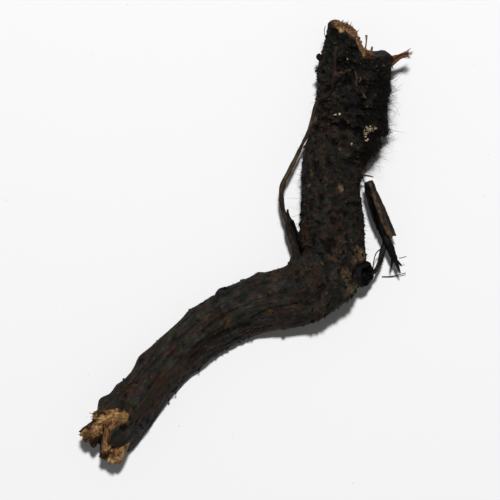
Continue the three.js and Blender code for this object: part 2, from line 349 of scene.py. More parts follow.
def thick_sheet(outer: Array, inner: Array, values: dict[str, Array] | None = None) -> Shape:
    """Two open grids joined round their edges into one closed wall.

    Args:
        outer: the outer face, rows by columns by 3, wound to face outwards.
        inner: the inner face, point for point behind the outer one.
        values: per grid vertex of the outer face; the inner face takes the same.

    Returns:
        The closed shape.
    """
    rows, columns = outer.shape[:2]
    count = rows * columns
    front = ring_quads(rows, columns, closed=False)
    back = front[:, ::-1] + count
    index = np.arange(count).reshape(rows, columns)
    edge = np.concatenate([index[0, :-1], index[:-1, -1], index[-1, :0:-1], index[:0:-1, 0]])
    after = np.roll(edge, -1)
    rim = np.stack([after, edge, edge + count, after + count], axis=-1)
    vertices = np.concatenate([outer.reshape(-1, 3), inner.reshape(-1, 3)])
    packed = {
        name: np.tile(v.reshape(count, *v.shape[2:]), (2,) + (1,) * (v.ndim - 2))
        for name, v in (values or {}).items()
    }
    return Shape(vertices, np.concatenate([front, back, rim]), values=packed)


def copies(one: Shape, vertices: Array, shade: Array) -> Shape:
    """Many small shapes with the same faces, as one shape.

    Args:
        one: the shape whose faces they share.
        vertices: their own vertices, copy by vertex by 3.
        shade: one number per copy for its finish.

    Returns:
        All copies.
    """
    count, size = vertices.shape[:2]
    offset = (np.arange(count) * size)[:, None, None]
    return Shape(
        vertices.reshape(-1, 3),
        (one.quads + offset).reshape(-1, 4),
        (one.triangles + offset).reshape(-1, 3),
        {"shade": np.repeat(shade, size)},
    )


def strands(paths: Array, radii: Array, shade: Array, sides: int = 3) -> Shape:
    """Many thin tapered stalks as one shape, each a ring of a few points carried along its path.

    Args:
        paths: strand by step by 3.
        radii: strand by step.
        shade: one number per strand for its finish.
        sides: points round each stalk.

    Returns:
        All stalks, each closed at both ends.
    """
    forward = unit(np.gradient(paths, axis=1))
    helper = np.where(np.abs(forward[..., 2:]) > 0.9, [1.0, 0, 0], [0, 0, 1.0])
    across = unit(np.cross(forward, helper))
    up = np.cross(across, forward)
    turn = circle(sides)
    ring = across[:, :, None] * np.cos(turn)[:, None] + up[:, :, None] * np.sin(turn)[:, None]
    rings = paths[:, :, None] + ring * radii[:, :, None, None]
    vertices = np.concatenate([rings.reshape(len(paths), -1, 3), paths[:, [0, -1]]], axis=1)
    return copies(closed_tube(rings[0]), vertices, shade)


def pebbles(centres: Array, sizes: Array, shade: Array, rng: np.random.Generator) -> Shape:
    """Many small uneven grains as one shape: a coarse ball per grain, stretched, turned and dented.

    Args:
        centres: one place per grain.
        sizes: its three half sizes.
        shade: one number per grain for its finish.
        rng: the source of the turns and dents.

    Returns:
        All grains, each closed.
    """
    count, rows, columns = len(centres), 4, 7
    tilt = np.pi * np.arange(1, rows + 1) / (rows + 1)
    ball = on_circle(np.sin(tilt)[:, None], circle(columns))
    ball[..., 2] = np.cos(tilt)[:, None]
    pole = np.array([0, 0, 1.0])
    one = closed_tube(ball[::-1], ends=(-pole, pole))
    local = one.vertices[None] * rng.uniform(0.72, 1.15, (count, len(one.vertices), 1)) * sizes[:, None]
    axes = np.linalg.qr(rng.normal(size=(count, 3, 3)))[0]
    axes *= np.sign(np.linalg.det(axes))[:, None, None]
    return copies(one, centres[:, None] + np.einsum("nij,nvj->nvi", axes, local), shade)


# ---------------------------------------------------------------- spines


def through(points: Array, u: Array) -> Array:
    """A smooth curve through points at whole numbers of u: cubics whose slope at each point is
    half the step between its neighbours.

    Args:
        points: one row per station.
        u: where to read the curve.

    Returns:
        One row per u.
    """
    n = len(points) - 1
    u = np.clip(u, 0, n)
    i = np.minimum(u.astype(int), n - 1)
    t = (u - i)[..., None]
    p = np.vstack([2 * points[0] - points[1], points, 2 * points[-1] - points[-2]])
    a, b, c, d = p[i], p[i + 1], p[i + 2], p[i + 3]
    return b + 0.5 * t * (c - a + t * (2 * a - 5 * b + 4 * c - d + t * (3 * (b - c) + d - a)))


CHORD = 0.9  # stations on either side of a section that set which way it faces


@dataclass
class Section:
    """Where sections stand and how large they are, one row per place asked for."""

    centre: Array
    side: Array
    up: Array
    forward: Array
    width: Array
    height: Array


@dataclass
class Spine:
    """A limb's centre line with its half width and half height: rows of x, y, z, width, height."""

    stations: Array
    sag: Callable[[Array, Array, Array], Array] = lambda u, a, z: 0.0 * a  # how far the skin hangs down

    def __post_init__(self) -> None:
        """Takes any nested list as the stations."""
        self.stations = np.asarray(self.stations, float)

    @property
    def last(self) -> int:
        """The number of the last station."""
        return len(self.stations) - 1

    def section(self, u: Array) -> Section:
        """The sections at u, each facing along the chord between its neighbours.

        Args:
            u: station numbers, of any shape.

        Returns:
            Their centres, directions and half sizes.
        """
        here = through(self.stations, u)
        ahead = through(self.stations[:, :3], u + CHORD) - through(self.stations[:, :3], u - CHORD)
        forward = unit(ahead)
        side = unit(np.cross(forward, [0, 0, 1.0]))
        up = np.cross(side, forward)
        return Section(here[..., :3], side, up, forward, here[..., 3], here[..., 4])

    def length_at(self, u: Array) -> Array:
        """Millimetres along the centre line from its start.

        Args:
            u: station numbers.

        Returns:
            The lengths of short steps added up, read at u.
        """
        fine = np.linspace(0, self.last, 40 * self.last + 1)
        steps = np.linalg.norm(np.diff(through(self.stations[:, :3], fine), axis=0), axis=1)
        return np.interp(u, fine, np.concatenate([[0], np.cumsum(steps)]))

    def place(self, u: Array, a: Array, b: Array, lift: Array = 0.0) -> Array:
        """Places across a section: a shares of the half width, b of the half height, plus a lift.

        Args:
            u: station numbers.
            a: shares across, 1 on the left flank.
            b: shares up, 1 on top.
            lift: millimetres away from the centre line.

        Returns:
            One place per u.
        """
        s = self.section(u)
        across, over = a * s.width, b * s.height
        stretch = 1 + lift / np.maximum(np.hypot(across, over), 1e-6)
        place = s.centre + s.side * (across * stretch)[..., None] + s.up * (over * stretch)[..., None]
        place[..., 2] -= self.sag(u, a, s.centre[..., 2])
        return place


# ---------------------------------------------------------------- node graphs

FLOAT, VECTOR = "NodeSocketFloat", "NodeSocketVector"
GLOSS = 0.1  # how strongly the bark and wood reflect


class Graph:
    """A node tree filled with short calls."""

    def __init__(self, tree: Tree) -> None:
        """Wraps an empty tree."""
        self.tree = tree

    def add(self, kind: str, inputs: dict | None = None, **settings: str | Tree) -> Node:
        """Adds a node.

        Args:
            kind: its Blender class name.
            inputs: values or sockets by input name or number.
            settings: its own properties.

        Returns:
            The node.
        """
        node = self.tree.nodes.new(kind)
        for key, value in settings.items():
            setattr(node, key, value)
        for key, value in (inputs or {}).items():
            if isinstance(value, Socket):
                self.tree.links.new(value, node.inputs[key])
            else:
                node.inputs[key].default_value = value
        return node

    def value_of(self, name: str, output: str = "Fac") -> Socket:
        """The output of an attribute node that reads one of the piece's own values."""
        return self.add("ShaderNodeAttribute", attribute_name=name).outputs[output]

    def math(self, operation: str, *values: Number) -> Socket:
        """The result of a math node on values or sockets."""
        return self.add("ShaderNodeMath", dict(enumerate(values)), operation=operation).outputs[0]

    def stretched(
        self, value: Socket, low: float, high: float, start: float = 0.0, end: float = 1.0
    ) -> Socket:
        """A value moved smoothly from low..high to start..end.

        Args:
            value: the socket to read.
            low: its value that gives start.
            high: its value that gives end.
            start: the result at low.
            end: the result at high.

        Returns:
            The result's socket.
        """
        inputs = {"Value": value, "From Min": low, "From Max": high, "To Min": start, "To Max": end}
        node = self.add("ShaderNodeMapRange", inputs, interpolation_type="SMOOTHSTEP")
        return node.outputs[0]

    def blended(self, share: Number, first: Color, second: Color, blend: str = "MIX") -> Socket:
        """A mix of two colours.

        Args:
            share: how much of the second.
            first: a colour or socket.
            second: a colour or socket.
            blend: Blender's name of the kind of mix.

        Returns:
            The colour's socket.
        """
        node = self.add("ShaderNodeMix", {0: share}, data_type="RGBA", blend_type=blend)
        for key, value in ((6, first), (7, second)):
            if isinstance(value, Socket):
                self.tree.links.new(value, node.inputs[key])
            else:
                node.inputs[key].default_value = (*value, 1) if len(value) == 3 else value
        return node.outputs[2]

    def tinted(self, color: Color, tint: Color) -> Socket:
        """A colour multiplied by another."""
        return self.blended(1.0, color, tint, "MULTIPLY")

    def group(self, tree: Tree, **inputs: Number) -> Node:
        """Places a node group with its own values."""
        return self.add("ShaderNodeGroup", inputs, node_tree=tree)


def new_group(name: str, inputs: dict[str, str]) -> tuple[Graph, dict]:
    """Starts a shader node group that gives a mask and a height.

    Args:
        name: the group's name.
        inputs: socket types by input name.

    Returns:
        The group's graph and its input sockets by name.
    """
    tree = bpy.data.node_groups.new(name, "ShaderNodeTree")
    for label, kind in inputs.items():
        tree.interface.new_socket(label, in_out="INPUT", socket_type=kind)
    for label in ("Mask", "Height"):
        tree.interface.new_socket(label, in_out="OUTPUT", socket_type=FLOAT)
    graph = Graph(tree)
    given = graph.add("NodeGroupInput")
    return graph, {label: given.outputs[label] for label in inputs}


def end_group(graph: Graph, mask: Socket, height: Socket) -> Tree:
    """Joins a group's results to its outputs and gives its tree."""
    graph.add("NodeGroupOutput", {"Mask": mask, "Height": height})
    return graph.tree


def make_mottling() -> Tree:
    """Cloudy mottling with crumbs in it, at a size in millimetres.

    Returns:
        A group that turns Place and Size into Mask and Height.
    """
    graph, given = new_group("mottling", {"Place": VECTOR, "Size": FLOAT})
    scale = graph.math("DIVIDE", 1 / METRES, given["Size"])
    cloud = graph.add(
        "ShaderNodeTexNoise", {"Vector": given["Place"], "Scale": scale, "Detail": 5.0, "Roughness": 0.65}
    ).outputs["Fac"]
    crumb_scale = graph.math("MULTIPLY", scale, 2.7)
    crumb = graph.add("ShaderNodeTexVoronoi", {"Vector": given["Place"], "Scale": crumb_scale})
    height = graph.math("SUBTRACT", cloud, graph.math("MULTIPLY", crumb.outputs["Distance"], 0.35))
    return end_group(graph, graph.stretched(cloud, 0.36, 0.66), height)


def make_grain() -> Tree:
    """Lengthwise streaks: noise on straightened coordinates that is drawn out along the limb.

    Returns:
        A group that turns Along, Width and Stretch into Mask and Height.
    """
    graph, given = new_group("lengthwise_grain", {"Along": VECTOR, "Width": FLOAT, "Stretch": FLOAT})
    across = graph.math("DIVIDE", 1.0, given["Width"])
    down = graph.math("DIVIDE", across, given["Stretch"])
    scale = graph.add("ShaderNodeCombineXYZ", {"X": across, "Y": across, "Z": down})
    drawn = graph.add(
        "ShaderNodeVectorMath", {0: given["Along"], 1: scale.outputs[0]}, operation="MULTIPLY"
    ).outputs[0]
    streak = graph.add(
        "ShaderNodeTexNoise", {"Vector": drawn, "Scale": 1.0, "Detail": 4.0, "Roughness": 0.6}
    ).outputs["Fac"]
    return end_group(graph, graph.stretched(streak, 0.38, 0.64), streak)


@dataclass
class Workshop:
    """The node groups that several finishes share."""

    mottling: Tree = field(default_factory=make_mottling)
    grain: Tree = field(default_factory=make_grain)


class Surface(Graph):
    """The node tree of a new material, round its Principled shader."""

    def __init__(self, name: str) -> None:
        """Makes the material."""
        self.material = bpy.data.materials.new(name)
        self.material.use_nodes = True
        super().__init__(self.material.node_tree)
        self.shader = self.tree.nodes["Principled BSDF"]
        self.place = self.add("ShaderNodeTexCoord").outputs["Object"]

    def with_painted_shade(self, color: Socket, least: float) -> Socket:
        """A colour darkened by the piece's hollow value, down to a least share of itself: painted shade in
        hollows, creases, seams and splits, and on some pieces a plain darker colour.

        Args:
            color: the colour.
            least: the share that is left where hollow is 1.

        Returns:
            The colour's socket.
        """
        shadow = self.stretched(self.value_of("hollow"), 0, 1, 1.0, least)
        grey = self.add("ShaderNodeCombineColor", {"Red": shadow, "Green": shadow, "Blue": shadow})
        return self.tinted(color, grey.outputs[0])

    def finish(self, color: Socket, roughness: Socket, height: Socket, depth: float) -> Material:
        """Joins colour, roughness and bump to the shader.

        Args:
            color: base colour socket.
            roughness: roughness socket.
            height: bump height socket, 0 to 1.
            depth: what a height of 1 stands for, in millimetres.

        Returns:
            The material.
        """
        self.shader.inputs["Specular IOR Level"].default_value = GLOSS
        bump = self.add("ShaderNodeBump", {"Height": height, "Distance": depth * METRES, "Strength": 1.0})
        for name, socket in (("Base Color", color), ("Roughness", roughness), ("Normal", bump.outputs[0])):
            self.tree.links.new(socket, self.shader.inputs[name])
        return self.material


@dataclass(frozen=True)
class RootBarkFinish:
    """The thick root's skin: dark mottled bark, stains and patches of black painted shade, bare torn wood,
    painted shade in the hollows and pits.
    """

    dark: Rgb = (0.0024, 0.0023, 0.0023)
    middle: Rgb = (0.0145, 0.0126, 0.0106)
    pale: Rgb = (0.062, 0.052, 0.040)
    rust: Rgb = (0.034, 0.015, 0.008)
    moss: Rgb = (0.0110, 0.0138, 0.0120)
    speck: Rgb = (0.105, 0.078, 0.050)
    wood: Rgb = (0.16, 0.068, 0.024)
    wood_pale: Rgb = (0.30, 0.165, 0.062)
    wood_dark: Rgb = (0.030, 0.012, 0.006)
    pit_shade: Rgb = (0.0012, 0.0010, 0.0010)
    stain_range: tuple[Rgb, Rgb] = ((0.35, 0.3, 0.25), (1.25, 1.2, 1.15))

    def material(self, shop: Workshop) -> Material:
        """Builds the finish.

        Args:
            shop: the shared node groups.

        Returns:
            The material.
        """
        graph = Surface("root_bark")
        place = graph.place
        along = graph.value_of("along", "Vector")
        coarse, blotch, fine, grit = (
            graph.group(shop.mottling, Place=place, Size=size).outputs for size in (1.3, 0.8, 0.38, 0.24)
        )
        streak = graph.group(shop.grain, Along=along, Width=0.35, Stretch=7.0).outputs
        fibre = graph.group(shop.grain, Along=along, Width=0.16, Stretch=14.0).outputs
        tone, lengthwise = graph.value_of("tone"), graph.value_of("lengthwise")

        texture = graph.add("ShaderNodeMix", {0: lengthwise, 2: fine["Mask"], 3: streak["Mask"]})
        lit = graph.math("MULTIPLY", texture.outputs[0], graph.stretched(coarse["Mask"], 0, 1, 0.35, 1.0))
        lit = graph.math("MULTIPLY", lit, graph.stretched(tone, 0, 1, 0.25, 0.85))
        bark = graph.blended(lit, graph.blended(tone, self.dark, self.middle), self.pale)
        bark = graph.blended(graph.math("MULTIPLY", blotch["Mask"], 0.55), bark, self.moss)
        warm = graph.math("MULTIPLY", graph.value_of("warmth"), coarse["Mask"])
        bark = graph.blended(warm, bark, self.rust)
        bark = graph.blended(graph.stretched(grit["Height"], 0.44, 0.62, 0.0, 0.75), bark, self.speck)

        noise = graph.add("ShaderNodeTexNoise", {"Vector": place, "Scale": 0.75 / METRES, "Detail": 3.0})
        parts = graph.add("ShaderNodeSeparateColor", {"Color": noise.outputs["Color"]}).outputs
        shares = ("Red", "Green", "Blue")
        hues = {name: graph.stretched(parts[name], 0.36, 0.64, 0.84, 1.18) for name in shares}
        bark = graph.tinted(bark, graph.add("ShaderNodeCombineColor", hues).outputs[0])
        # Painted shade: near black in the small pits where the mottling's bump is low, less on lengthwise
        # bark.
        pit_shade = graph.stretched(blotch["Height"], 0.24, 0.10, 0.0, 0.85)
        pit_shade = graph.math("MULTIPLY", pit_shade, graph.stretched(lengthwise, 0, 1, 1.0, 0.25))
        bark = graph.blended(pit_shade, bark, self.pit_shade)

        # The stain value carries the patches' stains and their black painted shade.
        stain = graph.add("ShaderNodeAttribute", attribute_name="stain").outputs
        stained = graph.tinted(stain["Color"], graph.blended(fine["Mask"], *self.stain_range))
        wood = graph.blended(fibre["Mask"], self.wood_dark, self.wood)
        wood = graph.blended(graph.math("MULTIPLY", coarse["Mask"], fibre["Mask"]), wood, self.wood_pale)
        color = graph.blended(graph.value_of("bare"), bark, wood)
        # Painted shade: the colour falls to 12 per cent of itself where the hollow value is 1.
        color = graph.with_painted_shade(graph.blended(stain["Alpha"], color, stained), 0.12)
        roughness = graph.stretched(fine["Mask"], 0, 1, 0.62, 0.9)
        height = graph.add("ShaderNodeMix", {0: lengthwise, 2: fine["Height"], 3: streak["Height"]})
        return graph.finish(color, roughness, height.outputs[0], 0.22)


@dataclass(frozen=True)
class LimbFinish:
    """A side limb's finish: two tones along the grain, a third in patches, by vertex shade, darkened by the
    piece's hollow value: painted shade, and on some limbs a plain darker colour.
    """

    name: str
    dark: Rgb
    light: Rgb
    patch: Rgb
    grain_width: float = 0.2
    depth: float = 0.12

    def material(self, shop: Workshop) -> Material:
        """Builds the finish.

        Args:
            shop: the shared node groups.

        Returns:
            The material.
        """
        graph = Surface(self.name)
        along = graph.value_of("along", "Vector")
        streak = graph.group(shop.grain, Along=along, Width=self.grain_width, Stretch=9.0).outputs
        cloud = graph.group(shop.mottling, Place=graph.place, Size=0.7).outputs
        color = graph.blended(streak["Mask"], self.dark, self.light)
        share = graph.math("MULTIPLY", cloud["Mask"], graph.value_of("shade"))
        color = graph.with_painted_shade(graph.blended(share, color, self.patch), 0.08)
        roughness = graph.stretched(streak["Mask"], 0, 1, 0.55, 0.8)
        return graph.finish(color, roughness, streak["Height"], self.depth)


@dataclass(frozen=True)
class StrandFinish:
    """Fine stalks and grains: a colour between two by each one's own shade, dulled by mottling."""

    name: str
    dark: Rgb
    light: Rgb
    roughness: float

    def material(self, shop: Workshop) -> Material:
        """Builds the finish.

        Args:
            shop: the shared node groups.

        Returns:
            The material.
        """
        graph = Surface(self.name)
        cloud = graph.group(shop.mottling, Place=graph.place, Size=0.5).outputs
        color = graph.blended(graph.value_of("shade"), self.dark, self.light)
        color = graph.tinted(color, graph.blended(cloud["Mask"], (0.7, 0.68, 0.66), (1.1, 1.1, 1.1)))
        roughness = graph.stretched(cloud["Mask"], 0, 1, self.roughness - 0.1, self.roughness + 0.1)
        return graph.finish(color, roughness, cloud["Height"], 0.03)


LIMB_FINISHES = (
    LimbFinish("sleeve_bark", (0.0018, 0.0017, 0.0017), (0.026, 0.022, 0.0185), (0.110, 0.060, 0.028), 0.45),
    LimbFinish("wiry_skin", (0.010, 0.006, 0.0045), (0.050, 0.030, 0.018), (0.11, 0.068, 0.032), 0.12, 0.05),
    LimbFinish("dark_heart", (0.0012, 0.0011, 0.0011), (0.0055, 0.0052, 0.0048), (0.016, 0.0135, 0.011)),
    # The scar's finish is nearly black: its dark bark with the deep shade of its hole painted in.
    LimbFinish("scar_bark", (0.0009, 0.0009, 0.0010), (0.0036, 0.0034, 0.0034), (0.014, 0.0125, 0.011), 0.3),
    LimbFinish("torn_wood", (0.055, 0.021, 0.010), (0.235, 0.108, 0.042), (0.52, 0.33, 0.13), 0.16, 0.15),
)
STRAND_FINISHES = (
    StrandFinish("splinter_fibre", (0.030, 0.010, 0.005), (0.30, 0.13, 0.055), 0.65),
    StrandFinish("root_hair", (0.0015, 0.0013, 0.0012), (0.014, 0.010, 0.008), 0.6),
    StrandFinish("wood_fibre", (0.07, 0.028, 0.012), (0.40, 0.23, 0.10), 0.65),
    StrandFinish("stalk", (0.010, 0.006, 0.005), (0.060, 0.038, 0.024), 0.65),
    StrandFinish("mineral", (0.16, 0.125, 0.055), (0.60, 0.53, 0.36), 0.5),
    StrandFinish("soil", (0.0025, 0.002, 0.0018), (0.036, 0.026, 0.018), 0.9),
    StrandFinish("bark_flake", (0.005, 0.004, 0.0032), (0.065, 0.040, 0.024), 0.8),
)

# ---------------------------------------------------------------- the thick root


@dataclass(frozen=True)
class Patch:
    """A stained or raised spot on the upper side, or a black one of painted shade: centre, half sizes, turn,
    colour and lift.
    """

    x: float
    y: float
    half_x: float
    half_y: float
    turn: float
    color: Rgb
    strength: float
    lift: float

    def share(self, p: Array, wobble: Array) -> Array:
        """How much of the patch shows at each place: an ellipse with an uneven edge.

        Args:
            p: places.
            wobble: a noise that moves the edge.

        Returns:
            0 to 1 per place.
        """
        c, s = math.cos(math.radians(self.turn)), math.sin(math.radians(self.turn))
        dx, dy = p[..., 0] - self.x, p[..., 1] - self.y
        away = np.hypot((c * dx + s * dy) / self.half_x, (c * dy - s * dx) / self.half_y)
        return self.strength * ramp(1.15, 0.7, away + 0.45 * wobble)


TAN, OCHRE, PINK = (0.088, 0.060, 0.036), (0.075, 0.040, 0.018), (0.056, 0.036, 0.026)
LICHEN, RUST, CREAM = (0.066, 0.060, 0.026), (0.040, 0.015, 0.009), (0.19, 0.135, 0.065)
GREY, CORK, BLACK = (0.022, 0.024, 0.020), (0.46, 0.28, 0.14), (0.0012, 0.0011, 0.0012)
BROWN = (0.034, 0.022, 0.013)

# Stains and scars on the upper side, from the crown to the tip; the BLACK rows, most of which sink the skin,
# are painted shade in pits, cracks, under the ledge, beside the rootlet, in the elbow's scar and in the
# tip's hollow.
PATCH_ROWS = (
    (23.9, 25.6, 1.6, 5.4, 0, BLACK, 0.9, -0.5), (20.1, 22.4, 0.3, 4.2, 3, BLACK, 0.8, -0.35),
    (14.7, 22.6, 0.5, 1.4, -25, BLACK, 0.85, -0.3), (19.6, 28.0, 0.45, 3.0, 4, GREY, 0.5, 0.3),
    (22.9, 17.2, 1.9, 3.6, -25, BLACK, 0.85, -0.2), (20.2, 23.9, 2.6, 0.5, -8, BLACK, 0.9, -0.45),
    (22.6, 22.6, 1.8, 0.9, -15, BLACK, 0.85, -0.3), (17.7, 32.1, 1.5, 1.0, -10, BLACK, 0.95, -0.8),
    (16.8, 28.4, 1.6, 0.75, 20, BLACK, 0.9, -0.6), (14.7, 25.5, 0.9, 0.5, 50, BLACK, 0.7, -0.1),
    (22.2, 31.4, 2.2, 1.0, 15, BLACK, 0.6, -0.1), (17.2, 37.0, 1.6, 0.4, -30, BLACK, 0.75, -0.1),
    (15.9, 38.7, 1.5, 0.45, -12, (0.060, 0.032, 0.016), 0.9, 0.1),
    (17.3, 37.8, 0.95, 0.5, -28, CORK, 1.0, 0.15),
    (18.4, 38.1, 0.75, 0.5, -30, (0.17, 0.080, 0.055), 0.9, 0.1),
    (17.4, 30.2, 1.6, 0.4, 18, TAN, 0.8, 0.55),
    (16.6, 29.5, 0.7, 0.35, 30, OCHRE, 0.6, 0.2), (18.4, 35.3, 1.2, 0.6, 0, BROWN, 0.6, 0.1),
    (20.6, 33.2, 0.7, 0.5, 40, TAN, 0.45, 0.15), (22.0, 32.9, 1.4, 0.6, 0, BROWN, 0.7, 0.15),
    (18.0, 25.7, 1.3, 1.4, 0, PINK, 0.35, 0.2), (13.6, 21.8, 1.7, 1.9, 0, BROWN, 0.7, 0.1),
    (10.9, 17.2, 0.5, 0.7, 0, (0.05, 0.012, 0.009), 0.8, 0.0),
    (16.8, 16.5, 0.4, 0.35, 0, (0.16, 0.15, 0.04), 0.9, 0.1),
    (17.9, 15.4, 0.5, 0.4, 0, (0.06, 0.075, 0.06), 0.6, 0.1), (15.4, 13.1, 2.4, 0.25, 4, RUST, 0.7, 0.1),
    (15.0, 12.0, 3.2, 0.55, -8, GREY, 0.7, -0.05), (14.4, 10.7, 1.2, 0.22, -4, PINK, 0.6, 0.1),
    (11.5, 12.2, 0.4, 1.15, 12, TAN, 0.8, 0.15), (16.8, 9.6, 0.55, 1.05, 8, CREAM, 0.85, 0.2),
    (16.6, 8.2, 0.6, 0.3, 0, BLACK, 0.6, -0.1), (11.9, 3.4, 0.8, 0.8, 0, TAN, 0.5, 0.15),
    (10.8, 1.2, 0.6, 1.5, 5, (0.07, 0.035, 0.016), 0.75, 0.15), (15.6, 2.2, 0.9, 0.6, 10, BROWN, 0.8, 0.1),
    (13.9, 1.2, 0.9, 0.5, -10, TAN, 0.45, 0.1), (16.9, 0.2, 1.5, 0.3, -12, TAN, 0.8, 0.2),
    (16.5, -1.6, 1.5, 0.6, -8, PINK, 0.9, 0.2), (15.1, -4.1, 1.3, 0.8, 0, GREY, 0.8, 0.0),
    (20.0, -2.5, 1.4, 1.8, 15, (0.105, 0.070, 0.040), 1.0, 0.35), (19.2, -1.2, 0.7, 0.5, 0, PINK, 0.6, 0.2),
    (17.9, -5.8, 1.1, 1.4, 20, TAN, 0.85, 0.15), (18.3, -8.4, 0.6, 1.7, 10, LICHEN, 0.95, 0.15),
    (20.5, -5.9, 1.5, 2.3, 0, BLACK, 0.95, -0.1),
    (19.6, -7.9, 0.9, 0.45, -5, (0.11, 0.075, 0.03), 0.85, 0.1),
    (21.4, -5.9, 1.9, 1.9, 0, BLACK, 0.97, -1.7),
    (12.4, -6.7, 0.42, 2.6, 0, (0.048, 0.022, 0.013), 0.75, 0.12),
    (11.2, -9.6, 1.1, 0.9, 0, (0.006, 0.009, 0.009), 0.8, -0.1),
    (15.8, -9.4, 1.5, 1.4, 30, (0.010, 0.013, 0.014), 0.75, -0.05),
    (14.3, -5.2, 0.8, 0.5, 30, (0.010, 0.014, 0.015), 0.7, 0.0),
    (17.6, -3.6, 0.8, 0.9, 0, (0.009, 0.012, 0.013), 0.7, -0.05),
    (6.9, -12.5, 0.9, 0.7, 0, RUST, 0.6, 0.05),
    (9.4, -12.0, 0.6, 0.4, 0, (0.060, 0.022, 0.011), 0.7, 0.05),
    (3.4, -10.6, 1.0, 0.5, 10, BROWN, 0.6, 0.08),
    (14.5, -12.3, 0.5, 0.35, 0, RUST, 0.6, 0.05), (7.9, -5.2, 0.9, 0.7, 30, BROWN, 0.8, 0.1),
    (8.2, -8.9, 1.0, 0.7, 0, BROWN, 0.6, 0.1), (9.8, -7.4, 1.0, 1.0, 0, GREY, 0.8, 0.0),
    (4.4, -12.3, 0.6, 0.35, -10, (0.12, 0.055, 0.018), 0.85, 0.1),
    (4.3, -9.0, 0.35, 0.45, 0, LICHEN, 0.7, 0.08), (-3.2, -14.5, 0.5, 1.4, -20, OCHRE, 0.8, 0.12),
    (-4.9, -13.2, 1.0, 0.9, 30, RUST, 0.6, 0.1),
    (-15.2, -25.6, 3.2, 1.1, 52, (0.045, 0.027, 0.013), 0.7, 0.1),
    (-18.4, -29.6, 2.4, 0.8, 52, BROWN, 0.6, 0.08), (-22.4, -29.2, 1.4, 0.5, -20, GREY, 0.6, 0.0),
    (-16.6, -20.8, 0.2, 0.2, 0, CREAM, 0.9, 0.05),
    (-21.7, -31.2, 0.9, 1.0, 20, (0.36, 0.24, 0.075), 0.8, 0.1),
    (-24.6, -30.7, 1.9, 0.8, -10, (0.30, 0.15, 0.055), 0.6, 0.05),
    (-27.0, -31.4, 0.5, 0.9, -20, (0.55, 0.50, 0.40), 0.85, 0.1),
    (-21.9, -33.1, 0.8, 0.7, -40, BLACK, 0.85, -0.6), (-23.0, -35.0, 1.4, 1.8, -20, GREY, 0.7, -0.1),
)
PATCHES = tuple(Patch(*row) for row in PATCH_ROWS)


def flank_sag(u: Array, a: Array, z: Array) -> Array:
    """How far the right flank hangs down: the elbow's stands up over its foot, the taproot's lies low.

    Args:
        u: station numbers.
        a: the way across, as a share of the half width.
        z: the centre line's height.

    Returns:
        Millimetres downwards.
    """
    overhang = 3.4 * ramp(10.9, 11.7, u) * ramp(13.1, 12.4, u)
    slump = (z - 1.7) * ramp(13.2, 15.0, u)
    return (slump - overhang) * np.maximum(-a, 0) ** 2


# The thick root's centre line from crown to tip: x, y, z, half width, half height.
ROOT_STATIONS = (
    (20.4, 39.6, 6.3, 4.8, 4.4), (20.0, 34.6, 6.2, 5.6, 5.1), (19.5, 30.1, 5.9, 6.1, 5.5),
    (19.3, 25.6, 5.6, 6.1, 5.7), (18.7, 21.2, 5.5, 6.2, 5.5), (17.0, 17.2, 5.6, 6.1, 5.3),
    (15.8, 14.0, 5.7, 5.7, 5.2), (15.3, 10.8, 5.8, 5.3, 5.0), (15.4, 7.4, 5.8, 5.3, 5.0),
    (15.6, 4.0, 5.7, 5.6, 5.2), (15.6, 0.2, 5.5, 5.7, 5.4), (15.7, -3.8, 5.4, 5.8, 5.6),
    (12.67, -7.5, 5.4, 5.7, 5.6), (8.57, -9.8, 5.2, 5.6, 5.2), (3.4, -10.95, 4.9, 5.25, 4.9),
    (-1.4, -12.75, 4.6, 5.05, 4.7), (-6.2, -15.5, 4.4, 4.8, 4.6), (-10.25, -18.65, 4.3, 4.45, 4.4),
    (-14.3, -22.2, 4.4, 4.4, 4.3), (-17.7, -26.4, 4.9, 4.3, 4.3), (-20.8, -30.3, 6.0, 4.6, 4.4),
    (-23.4, -33.8, 7.3, 4.55, 4.4), (-25.7, -36.5, 8.1, 4.2, 4.0),
)


